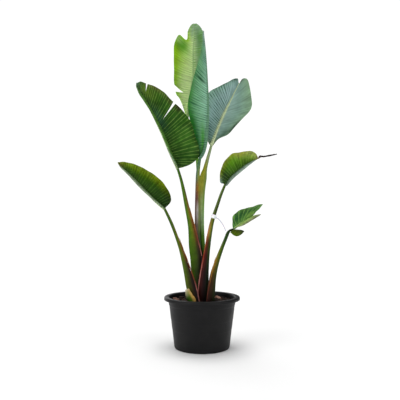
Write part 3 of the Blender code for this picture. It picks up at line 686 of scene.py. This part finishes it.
def floor_finish():
    """White studio paper, with a tooth too fine to show."""
    made = Finish("white_studio_paper", Roughness=0.9, Specular_IOR_Level=0.0)
    add = made.add
    spot = add("TexCoord", OBJECT)
    tooth = add("TexNoise", Vector=spot, Scale=300.0, Detail=2.0)
    low, high = rgba("#f3f3f3"), rgba("#f6f6f6")
    tone = add("Mix", MIXED, data_type="RGBA", i0=tooth, i6=low, i7=high)
    return made.done(Base_Color=tone)


class Curve:
    """A smooth curve through 3-D points, read by its share of the length."""

    STEPS = 12

    def __init__(self, points):
        points = [Vector(point) for point in points]
        self.points = [points[0]]
        for span in range(len(points) - 1):
            self.points += smooth_span(points, span, self.STEPS)[1:]
        self.lengths = [0.0]
        for a, b in zip(self.points, self.points[1:]):
            self.lengths.append(self.lengths[-1] + (b - a).length)

    def at(self, share):
        wanted = min(max(share, 0.0), 1.0) * self.lengths[-1]
        for i in range(1, len(self.points)):
            if self.lengths[i] >= wanted:
                break
        span = self.lengths[i] - self.lengths[i - 1]
        return self.points[i - 1].lerp(self.points[i], (wanted - self.lengths[i - 1]) / span)


class Blade:
    """The upper surface of a blade, between its midrib and its margins.

    Its left half is -1 and its right half 1. Along runs from 0 at the stalk to 1 at the tip, and
    share from 0 at the midrib to 1 at the margin.
    """

    def __init__(
        self, seed, midrib, left, right, sweep, arch, wave, rib=1.0, lean=0.0, calm=0,
        pale_rib=0, groove=None, tears=(),
    ):
        self.seed, self.sweep, self.arch, self.wave = seed, sweep, arch, wave / 1000
        self.rib, self.lean, self.calm = rib, lean, calm
        self.pale_rib, self.groove, self.tears = pale_rib / 1000, groove, tears
        self.midrib = Curve(metres(midrib))
        self.length = self.midrib.lengths[-1]
        # The rows come in twenties, so that a tear stated in twentieths falls on one.
        self.rows = max(round(self.length / ROW_SPACING / 20) * 20, 40)
        self.veins = round(self.length / VEIN_SPACING)
        base, tip = self.midrib.at(0.0), self.midrib.at(1.0)
        self.margins, self.normals = {}, {}
        for half, margin in ((-1, left), (1, right)):
            points = [Vector(point) for point in metres(margin)]
            start = self.beside(base, points[0], self.midrib.at(0.1) - base)
            end = self.beside(tip, points[-1], tip - self.midrib.at(0.9))
            start = base + start * RIB_HALF_WIDTH * self.rib
            self.margins[half] = Curve([start, *points, tip + end * TIP_HALF_WIDTH])
            self.normals[half] = self.upward(half)
        self.known = {}

    @staticmethod
    def beside(point, towards, along):
        """The way from a point towards another, square to along."""
        along = along.normalized()
        aside = towards - point
        return (aside - along * aside.dot(along)).normalized()

    def upward(self, half):
        """The mean way up from a half."""
        total = Vector()
        for i in range(1, 10):
            along = self.midrib.at(i / 10 + 0.05) - self.midrib.at(i / 10 - 0.05)
            out = self.margins[half].at(i / 10) - self.midrib.at(i / 10)
            total += out.cross(along) * half
        return total.normalized()

    def foot(self):
        """The middle of the rib's section where the stalk meets it, and the rib's direction."""
        along = (self.midrib.at(0.1) - self.midrib.at(0.0)).normalized()
        down = -(self.normals[-1] + self.normals[1])
        down = (down - along * down.dot(along)).normalized()
        return self.midrib.at(0.0) + down * RIB_DEPTH * self.rib / 2, along

    def row_at(self, along, half):
        """The midrib point, and the way from it to the margin."""
        key = (round(along, 5), half)
        if key not in self.known:
            root = self.midrib.at(along)
            self.known[key] = (root, self.margins[half].at(1 - (1 - along) ** self.sweep) - root)
        return self.known[key]

    def count(self, along, half, share):
        """How many side veins leave the midrib up to here. Those of the halves alternate."""
        along += self.lean * share
        drift = noise.noise((along * self.veins * 0.4, self.seed, half * 3.0))
        return self.veins * along + VEIN_DRIFT * drift + (0.5 if half > 0 else 0.0)

    def rib_half(self, along):
        return RIB_HALF_WIDTH * self.rib * (1 - RIB_TAPER * along)

    def share_of(self, column, along, half):
        """The share of the half's width at a column: a few cover the rib, the rest the lamina."""
        width = max(self.row_at(along, half)[1].length, 1e-4)
        rib = min(self.rib_half(along) / width, RIB_SHARE_MOST)
        if column <= RIB_COLUMNS:
            return rib * column / RIB_COLUMNS
        return rib + (1 - rib) * (column - RIB_COLUMNS) / LAMINA_COLUMNS

    def point(self, along, half, column, at):
        """The surface at a column, where a tear has moved it along from its row at."""
        root, out = self.row_at(along, half)
        share = self.share_of(column, along, half)
        width = out.length
        lively = CALM_SHARE if half == self.calm else 1.0
        over = min(share * width / self.rib_half(along), 1.0)
        # The skin swells between side veins and is pinched at each.
        vein = abs(sin(pi * self.count(at, half, share))) ** 0.7 - 0.6
        bumpy = noise.noise(
            (along * self.length * RIPPLES_PER_METRE, self.seed, half * 5.0 + share * 2)
        )
        lift = self.arch * 4 * share * (1 - share) * width
        lift -= GROOVE * self.rib * (1 - along) * (1 - over**2)
        lift += lively * self.wave * share**2 * sin(along * WAVES * 2 * pi)
        # Pleats and ripples fade where the half is narrow.
        lift += lively * PLEAT * vein * ease(share * 6) * (1 - 0.5 * share) * min(1.0, width * 25)
        lift += lively * RIPPLE * bumpy * share**2 * min(1.0, width * 20)
        return root + out * share + self.normals[half] * lift

    def shifted(self, along, half, share):
        """Where a station lies once the tears have opened."""
        for place, whole, opening in self.tears:
            if half < 0 or share <= whole:
                continue
            near = 1 - abs(along - place) / TEAR_REACH
            if near > 0 and abs(along - place) > SAME:
                push = opening * (share - whole) / (1 - whole) * near
                along += copysign(push, along - place)
        return along


def side_tone(side):
    """The colour of one side of a blade, as a function of the place on it."""
    codes, _, *marks = side
    *across_it, rib, base, tip = palette(codes)
    marks = [(*mark[:4], linear(mark[4]), mark[5]) for mark in marks]

    def tone(along, across, over):
        colour = base.lerp(gradient(across_it, (across + 1) / 2), ease(along / BASE_REACH))
        colour = colour.lerp(tip, ease((along + TIP_REACH - 1) / TIP_REACH))
        for at, aside, reach, width, mark, strength in marks:
            away = ((along - at) / reach) ** 2 + ((across - aside) / width) ** 2
            colour = colour.lerp(mark, strength * exp(-away))
        return rib.lerp(colour, ease(over * 1.6 - 0.6))

    return tone


def blade_mesh(blade, sides):
    """A blade as one closed sheet: upper side, rounded rib beneath, and thin margins."""
    columns = RIB_COLUMNS + LAMINA_COLUMNS
    bm = bmesh.new()
    bmesh.ops.create_grid(bm, x_segments=blade.rows, y_segments=2 * columns, size=1.0)
    place, outward, across = [
        bm.verts.layers.float_vector.new(name) for name in ("place", "outward", "across")
    ]
    tint = bm.verts.layers.float_color.new("tint")
    for at, whole, _ in blade.tears:
        line = round(at * blade.rows)
        torn = {
            vert for vert in bm.verts
            if round((vert.co.x + 1) / 2 * blade.rows) == line and vert.co.y > whole
        }
        edges = [
            edge for edge in bm.edges
            if torn.intersection(edge.verts)
            and abs(edge.verts[0].co.x - edge.verts[1].co.x) < SAME
        ]
        bmesh.ops.split_edges(bm, edges=edges)
    for vert in bm.verts:
        along, side = (vert.co.x + 1) / 2, vert.co.y
        vert[place] = (along, -1 if side < 0 else 1, round(abs(side) * columns))
        # The two lips of a tear share one place here, so each asks its faces which lip it is.
        middle = sum(face.calc_center_median().x for face in vert.link_faces)
        lip = (middle / len(vert.link_faces) + 1) / 2 - along
        vert[outward] = (copysign(2 * SAME, lip), 0, 0)
    for vert in bm.verts:
        along, half, column = vert[place]
        share = blade.share_of(column, along, half)
        reach = share * blade.row_at(along, half)[1].length
        vert[across] = (share, reach, min(reach / blade.rib_half(along), 1.0))
        moved = blade.shifted(along + vert[outward].x, half, share) if blade.tears else along
        vert.co = blade.point(min(max(moved, 0.0), 1.0), half, column, along)
    bmesh.ops.recalc_face_normals(bm, faces=bm.faces[:])
    bm.normal_update()
    middle = min(
        bm.verts,
        key=lambda v: abs(v[place].x - 0.5) + abs(v[place].y * v[place].z / columns - 0.5),
    )
    if middle.normal.dot(blade.normals[1]) < 0:
        bmesh.ops.reverse_faces(bm, faces=bm.faces[:])
        bm.normal_update()
    _, foot_along = blade.foot()
    for vert in bm.verts:
        normal = vert.normal.copy()
        if vert[place].x < 1e-4:
            normal = (normal - foot_along * normal.dot(foot_along)).normalized()
        vert[outward] = normal
    under = bmesh.ops.extrude_face_region(bm, geom=bm.faces[:], use_keep_orig=True)["geom"]
    under = {item for item in under if isinstance(item, bmesh.types.BMVert)}
    tones = [side_tone(side) for side in sides]
    for vert in bm.verts:
        along, half, _ = vert[place]
        share, reach, over = vert[across]
        below = vert in under
        stripe = reach / max(blade.rib_half(along), blade.pale_rib if below else 0.0)
        tone = tones[below](along + blade.lean * share, half * share, stripe)
        vert[tint] = (*tone, sides[below][1][half > 0])
        if below:
            rib = RIB_DEPTH * blade.rib * (1 - along) * sqrt(1 - over**2)
            vert.co -= vert[outward] * (LAMINA * (1 - LAMINA_TAPER * along) + rib)
    uv = bm.loops.layers.uv.new("veins")
    for face in bm.faces:
        beside = [vert for vert in face.verts if vert[place].z > 0]
        half = beside[0][place].y if beside else 1
        face.material_index = int(all(vert in under for vert in face.verts))
        for loop in face.loops:
            along, _, column = loop.vert[place]
            count = blade.count(along, half, loop.vert[across].x)
            loop[uv].uv = (count, column / columns)
    return bm


def stalk_stations(rows):
    """(centre, width, depth) along a sweep whose rows are (x, y, z, width, depth)."""
    centres = [Vector(row[:3]) for row in rows]
    sizes = [Vector((row[3], row[4], 0.0)) for row in rows]
    found = [(centres[0], sizes[0].x, sizes[0].y)]
    for span in range(len(rows) - 1):
        curve = smooth_span(centres, span, STALK_STEPS)
        girth = smooth_span(sizes, span, STALK_STEPS)
        found += [(curve[i], girth[i].x, girth[i].y) for i in range(1, STALK_STEPS + 1)]
    return found


def stalk_tone(name):
    """The colour up a stalk, from its left (-1) to its right (1), as a function."""
    stops = [(height / 1000, *palette(codes)) for height, codes in STALK_TONES[name]]

    def tone(height, side, _):
        for lower, upper in zip(stops, stops[1:]):
            if height <= upper[0]:
                break
        share = ease((height - lower[0]) / (upper[0] - lower[0]))
        left, front, right = [a.lerp(b, share) for a, b in zip(lower[1:], upper[1:])]
        # The colour of a side is reached a little before its outermost line.
        return front.lerp(right if side > 0 else left, ease(1.35 * abs(side)))

    return tone


def tube(rows, tone, sides=STALK_SIDES, ends=None, groove=None, rough=0.0, seed=0):
    """A closed tube of ellipses along its rows.

    Tone gives the colour at a height, a side and a share of the length. Ends are the directions
    of its first and last section, where they are stated. A groove is a direction in degrees.
    """
    path = stalk_stations(rows)
    last = len(path) - 1
    directions = [path[min(i + 1, last)][0] - path[max(i - 1, 0)][0] for i in range(last + 1)]
    for end, along in (ends or {}).items():
        directions[end] = along
    bm = bmesh.new()
    bmesh.ops.create_grid(bm, x_segments=last, y_segments=sides, size=1.0)
    tint = bm.verts.layers.float_color.new("tint")
    uv = bm.loops.layers.uv.new("skin")
    girth = pi * max(row[3] for row in rows)
    for face in bm.faces:
        for loop in face.loops:
            station = round((loop.vert.co.x + 1) / 2 * last)
            loop[uv].uv = ((loop.vert.co.y + 1) / 2 * girth, path[station][0].z)
    for vert in bm.verts:
        i = round((vert.co.x + 1) / 2 * last)
        angle = (vert.co.y + 1) * pi
        centre, width, depth = path[i]
        along = directions[i].normalized()
        across = Vector((0.0, 1.0, 0.0)).cross(along).normalized()
        through = along.cross(across)
        size = 1.0
        if groove:
            away = remainder(angle - radians(groove), 2 * pi)
            # It runs out in the first and the last quarter.
            fade = ease(i / last * 4) * ease((last - i) / last * 4)
            size -= STALK_GROOVE * fade * exp(-((away / STALK_GROOVE_BREADTH) ** 2))
        if rough:
            spot = (cos(angle) * 1.5, sin(angle) * 1.5, i * 0.35 + seed)
            size += rough * noise.noise(spot)
        vert.co = centre + (
            across * cos(angle) * width + through * sin(angle) * depth
        ) * size / 2
        vert[tint] = (*tone(centre.z, cos(angle), i / last), 1.0)
    bmesh.ops.remove_doubles(bm, verts=bm.verts[:], dist=SAME)
    rims = [edge for edge in bm.edges if edge.is_boundary]
    bmesh.ops.holes_fill(bm, edges=rims, sides=0)
    return bm


def lathe(profile, sides):
    """A closed profile of (radius, height) points, turned about Z."""
    bm = bmesh.new()
    verts = [bm.verts.new((radius, 0.0, height)) for radius, height in profile]
    edges = [bm.edges.new(pair) for pair in zip(verts, verts[1:])]
    if profile[0][0] > 0:
        edges.append(bm.edges.new((verts[-1], verts[0])))
    bmesh.ops.spin(
        bm, geom=verts + edges, cent=(0, 0, 0), axis=(0, 0, 1), angle=2 * pi, steps=sides,
        use_merge=True,
    )
    bmesh.ops.remove_doubles(bm, verts=bm.verts[:], dist=SAME)
    return bm


def rounded(corners, steps=4):
    """A profile with its middle corners rounded: (radius, height, corner radius)."""
    points = [Vector((radius, height, 0.0)) for radius, height, _ in corners]
    found = [points[0]]
    for i in range(1, len(points) - 1):
        cut = corners[i][2]
        before = (points[i - 1] - points[i]).normalized() * cut
        after = (points[i + 1] - points[i]).normalized() * cut
        found += interpolate_bezier(
            points[i] + before, points[i] + before * 0.45, points[i] + after * 0.45,
            points[i] + after, steps + 1,
        )
    found.append(points[-1])
    return [(point.x, point.y) for point in found]


def wall_radius(height):
    return WALL_RADIUS + WALL_TAPER * height


def make_pot():
    lip = POT_HEIGHT - LIP_DROP
    inside = wall_radius(lip) - WALL
    # The wall steps out on its way up: (height, how far it has stepped out, corner radius).
    steps = (
        (0.005, 0.0, 0.0012), (0.064, 0.0, 0.0007), (0.066, 0.0006, 0.0007),
        (0.098, 0.0006, 0.0007), (0.100, 0.0012, 0.0007), (0.145, 0.0012, 0.0008),
        (0.148, 0.0024, 0.0008),
    )
    corners = [
        (0.0, 0.0, 0), (BASE_RADIUS + 0.0022, 0.0, 0.0016),
        *[(wall_radius(height) + out, height, cut) for height, out, cut in steps],
        (wall_radius(lip) + 0.0024, lip - 0.003, 0.0010), (wall_radius(lip) + 0.0050, lip, 0.0008),
        (RIM_RADIUS, lip - 0.0002, 0.0018), (RIM_RADIUS, POT_HEIGHT, 0.0044),
        (inside + 0.0006, POT_HEIGHT, 0.0036), (inside, lip, 0.0018),
        (wall_radius(FLOOR) - WALL, FLOOR, 0.0006), (0.0, FLOOR, 0),
    ]
    bm = lathe(rounded(corners), 160)
    pot = piece("nursery_pot", bm, [moulded_finish()], "black_pot", "pot")
    bm = bmesh.new()
    for i in range(DRAIN_HOLES):
        turn = Matrix.Rotation(2 * pi * (i + 0.5) / DRAIN_HOLES, 4, "Z")
        bmesh.ops.create_cone(
            bm, cap_ends=True, segments=32, radius1=DRAIN_RADIUS, radius2=DRAIN_RADIUS,
            depth=4 * FLOOR, matrix=turn @ Matrix.Translation((DRAIN_RING, 0, FLOOR / 2)),
        )
    drill = bare("drill", bm)
    drilled = pot.modifiers.new("drain", "BOOLEAN")
    drilled.operation, drilled.solver, drilled.object = "DIFFERENCE", "EXACT", drill
    graph = bpy.context.evaluated_depsgraph_get()
    cut = bpy.data.meshes.new_from_object(pot.evaluated_get(graph))
    pot.modifiers.clear()
    pot.data = cut
    bpy.data.objects.remove(drill)


def soil_height(x, y):
    """The uneven top of the soil, a little higher in the middle."""
    mound = MOUND * (1 - (hypot(x, y) / RIM_RADIUS) ** 2)
    return SOIL_TOP + mound + DIPS * noise.noise(Vector((x, y, 0.0)) * DIPS_PER_METRE)


def bark_chip(bm, draw, angle, reach, lift, size, tilt, seed):
    """Adds one split nugget: a worn block with uneven faces. Gives its vertices."""
    x, y = reach * cos(angle), reach * sin(angle)
    turn = Matrix.Rotation(draw.uniform(0, pi), 4, "Z")
    lean = Matrix.Rotation(draw.uniform(-tilt, tilt), 4, "X")
    place = Matrix.Translation((x, y, soil_height(x, y) + lift)) @ turn @ lean
    block = bmesh.ops.create_cube(bm, size=1.0)["verts"]
    edges = [edge for vert in block for edge in vert.link_edges if edge.verts[0] == vert]
    worn = bmesh.ops.bevel(
        bm, geom=edges, offset=CHIP_BEVEL, segments=1, profile=0.5, affect="EDGES", material=-1
    )["verts"]
    for vert in worn:
        bump = noise.noise_vector(vert.co * 1.7 + Vector((seed, 0.0, 0.0)))
        vert.co += bump * CHIP_UNEVENNESS
        vert.co = place @ Matrix.Diagonal((*size, 1.0)) @ vert.co
    return worn


def make_soil():
    low = FLOOR + GAP
    inset = WALL + 2 * GAP
    radius = wall_radius(SOIL_TOP) - inset
    bm = bmesh.new()
    bmesh.ops.create_grid(bm, x_segments=SOIL_CELLS, y_segments=SOIL_CELLS, size=radius)
    # The square grid is cut to a disc, and the edge of what is left is drawn out to the circle.
    far = [vert for vert in bm.verts if vert.co.length > radius * 0.992]
    bmesh.ops.delete(bm, geom=far, context="VERTS")
    rim = [edge for edge in bm.edges if edge.is_boundary]
    for vert in {vert for edge in rim for vert in edge.verts}:
        vert.co = vert.co.normalized() * radius
    for vert in bm.verts:
        spot = (vert.co + Vector((0, 0, 3.0))) * CRUMBS_PER_METRE
        crumb = noise.fractal(spot, 0.8, 2.1, 3)
        vert.co.z = soil_height(vert.co.x, vert.co.y) + CRUMB * crumb
    skirt = bmesh.ops.extrude_edge_only(bm, edges=rim)["geom"]
    for vert in [item for item in skirt if isinstance(item, bmesh.types.BMVert)]:
        flat = Vector((vert.co.x, vert.co.y, 0.0)).normalized()
        vert.co = flat * (wall_radius(low) - inset)
        vert.co.z = low
    bmesh.ops.contextual_create(bm, geom=[edge for edge in bm.edges if edge.is_boundary])
    piece("potting_mix", bm, [soil_finish()], "potting_soil", "soil", crease=180)

    bm = bmesh.new()
    tint = bm.verts.layers.float_color.new("tint")
    draw = random.Random(7)
    for i in range(CHIPS):
        angle = 2 * pi * (i + draw.uniform(-0.25, 0.25)) / CHIPS
        reach = draw.uniform(*CHIP_RING)
        size = (draw.uniform(0.013, 0.021), draw.uniform(0.008, 0.013), draw.uniform(0.010, 0.015))
        for vert in bark_chip(bm, draw, angle, reach, 0.0, size, 0.5, i * 5.0):
            vert[tint] = rgba(FRESH_BARK if i in FRESH_CHIPS else OLD_BARK)
    draw = random.Random(21)
    for i in range(SMALL_CHIPS):
        angle, reach = draw.uniform(0, 2 * pi), radius * 0.96 * sqrt(draw.random())
        long = draw.uniform(0.003, 0.010)
        size = (long, long * draw.uniform(0.3, 0.7), long * draw.uniform(0.2, 0.5))
        worn = bark_chip(bm, draw, angle, reach, 0.0006, size, 0.6, i * 3.0 + 100)
        colour = rgba(draw.choice(SMALL_CHIP_TONES))
        for vert in worn:
            vert[tint] = colour
    piece("bark_chips", bm, [bark_finish()], "potting_soil", crease=30)


def make_stalks(blades, skin, dry):
    for name, blade in blades.items():
        if name not in STALKS:
            continue
        foot, along = blade.foot()
        width = TOP_WIDTH * blade.rib
        inside = foot + along * TOP_INSIDE
        rows = [
            *metres(STALKS[name]), (*foot, width, width), (*inside, width * 0.7, width * 0.6)
        ]
        bm = tube(rows, stalk_tone(name), ends={-1: along}, groove=blade.groove)
        piece("petiole_" + name, bm, [skin], "green_stalk", "stalk_" + name, crease=60)
    bm = tube(metres(STALKS["cut_stub"]), stalk_tone("cut_stub"), rough=0.12)
    piece("cut_leaf_base", bm, [dry], "cut_stalk", "cut_stub", crease=50)
    for i, (name, (codes, *rows)) in enumerate(SHEATH_MARGINS.items()):
        colours = palette(codes)
        # Each margin is painted a quarter lighter on its right side and a quarter darker on its
        # left: a painted highlight and painted shade.
        bm = tube(
            metres(rows), lambda _, side, share: gradient(colours, share) * (1 + 0.25 * side),
            sides=10, rough=0.45, seed=i * 9.0,
        )
        piece("sheath_margin_" + name, bm, [dry], "dried_leaf", crease=80)


def make_blades(blades):
    # The upper face has a thick glossy cuticle over deep green, with paler sunken veins.
    upper = lamina_finish(
        "leaf_upper_cuticle", "#94bc5c", 0.6, 0.12, 0.42, (1.2, 1.3, 0.4), (0.62, 1.3), 0.15
    )
    # The underside has a greyish wax bloom, and its raised veins show dark against the light.
    under = lamina_finish(
        "leaf_underside_wax", "#1f4c38", 0.8, 0.2, 0.55, (1.1, 1.2, 0.7), (0.74, 1.2), 0.3
    )
    # A young blade is thin and soft, and lights up when the sun is behind it.
    young_upper = lamina_finish("young_leaf_upper", "#c6e07a", 0.4, 0.45, 0.45, (1.2, 1.25, 0.5))
    young_under = lamina_finish(
        "young_leaf_underside", "#568a20", 0.65, 0.4, 0.5, (1.1, 1.15, 0.6), (0.8, 1.15), 0.3
    )
    # A bract is leathery, and lets little light through.
    bract = lamina_finish("olive_bract_skin", "#1c2608", 0.5, 0.08, 0.45, (1.0, 1.2, 0.5))
    grown, young = (upper, under), (young_upper, young_under)
    looks = {
        "centre_front": (grown, "under_leaf"), "right_back": (grown, "under_leaf"),
        "young_back": (young, "young_leaf"),
    }
    for name, blade in blades.items():
        bm = blade_mesh(blade, TONES[name])
        if name == "bract":
            piece("olive_bract", bm, (bract, bract), "bract", "bract_small_right", crease=50)
            continue
        skins, slot = looks.get(name, (grown, "upper_leaf"))
        piece("leaf_" + name, bm, skins, slot, "blade_" + name, crease=50)


def make_dried_thread(blade, dry):
    tip = blade.midrib.at(1.0)
    along = (tip - blade.midrib.at(0.9)).normalized()
    start = tip - along * 0.002
    rows = [(*start, THREAD_START, THREAD_START), *metres(THREAD)]
    brown, dark = linear("#4c3c34"), linear("#231a18")
    bm = tube(
        rows, lambda _, side, share: brown.lerp(dark, ease(share * 2)), sides=14,
        ends={0: along}, rough=0.5,
    )
    piece("dried_thread", bm, [dry], "dried_leaf", "dried_tip", crease=80)


def make_tie(blade):
    foot, _ = blade.foot()
    path = stalk_stations([*metres(STALKS["arching_right"]), (*foot, TOP_WIDTH, TOP_WIDTH)])
    near = min(range(len(path)), key=lambda i: abs(path[i][0].z - TIE_HEIGHT))
    along = path[near + 1][0] - path[near - 1][0]
    turn = along.to_track_quat("Z", "Y").to_matrix().to_4x4()
    half = TIE_LENGTH / 2
    corners = [
        (TIE_INNER, 0.0, 0), (TIE_INNER, half, 0.0005), (TIE_OUTER, half, 0.0008),
        (TIE_OUTER, -half, 0.0008), (TIE_INNER, -half, 0.0005), (TIE_INNER, -0.0001, 0),
    ]
    bm = lathe(rounded(corners), 64)
    bm.transform(Matrix.Translation(path[near][0]) @ turn)
    # The white nylon is painted grey-lilac, faintly on the band and more on the strap: painted
    # shade.
    white = nylon_finish("moulded_white_nylon", "#dcdce6", "#f0f0f0")
    piece("tie_band", bm, [white], "white_tie", "plant_tie", crease=50)
    strap_shade = linear("#d8d6e4")
    bm = tube(metres(TIE_STRAP), lambda *_: strap_shade, sides=16)
    strap = nylon_finish("white_strap_painted_shade", "#aeacc2", "#c6c4d2")
    piece("tie_strap", bm, [strap], "white_tie", crease=60)


def make_studio():
    scene = bpy.context.scene
    bm = bmesh.new()
    bmesh.ops.create_grid(bm, x_segments=2, y_segments=2, size=14.0)
    bare("studio_floor", bm, [floor_finish()])

    # A dim white room, with a brighter white behind the plant.
    white = (1.0, 1.0, 1.0, 1.0)
    room = Finish("white_room", "worlds", "Background", Color=white, Strength=0.20)
    seen = room.add("Background", Color=white, Strength=1.05)
    rays = room.add("LightPath")
    both = room.add("MixShader", i0=rays, i1=room.shader.outputs[0], i2=seen)
    room.feed(room.nodes["World Output"], {"Surface": both})
    scene.world = room.owner

    # A wide overhead bank makes the soft pool of shadow round the pot. The banks before and beside
    # the plant shine nearly level, so they light the leaves and leave that shadow be.
    lamps = (
        # name, towards the lamp, power, width in degrees
        ("ceiling_bank", (-0.04, 0.12, 1.0), 2.35, 60),
        ("left_bank", (-1.0, -0.75, 0.12), 2.2, 50),
        ("right_bank", (1.0, -0.85, 0.12), 1.3, 50),
        ("front_bank", (-0.1, -1.0, 0.10), 0.25, 60),
        ("back_bank", (-0.5, 1.0, 0.20), 1.0, 50),
    )
    for name, place, power, width in lamps:
        lamp = bpy.data.lights.new(name, "SUN")
        lamp.energy, lamp.angle = power, radians(width)
        holder = placed(name, lamp)
        holder.location = Vector(place) * 3
        holder.rotation_euler = Vector(place).to_track_quat("Z", "Y").to_euler()

    # The camera stands 1.75 m away, as high as the foot of the fan, and looks up a little.
    lens = bpy.data.cameras.new("camera")
    lens.sensor_width, lens.lens = 36.0, 45.0
    camera = placed("camera", lens)
    camera.location = (-0.007, -1.75, 0.443)
    camera.rotation_euler = (radians(90) + atan(0.038), 0.0, 0.0)
    scene.camera = camera
    scene.view_settings.view_transform = "Standard"


def main():
    # Without a seed, noise_vector takes its offsets from the clock.
    noise.seed_set(1)
    # A living stalk is smooth and waxy, with fine fibres under the skin.
    skin = stalk_finish("waxy_stalk_skin", 0.42, 0.8, 1.15, 0.3)
    # A dead sheath margin is papery and coarse.
    dry = stalk_finish("papery_dry_sheath", 0.8, 0.55, 1.35, 0.9)
    make_pot()
    make_soil()
    blades = {name: Blade(i * 7.0, **row) for i, (name, row) in enumerate(BLADES.items())}
    make_stalks(blades, skin, dry)
    make_blades(blades)
    make_dried_thread(blades["arching_right"], dry)
    make_tie(blades["arching_right"])
    make_studio()


main()
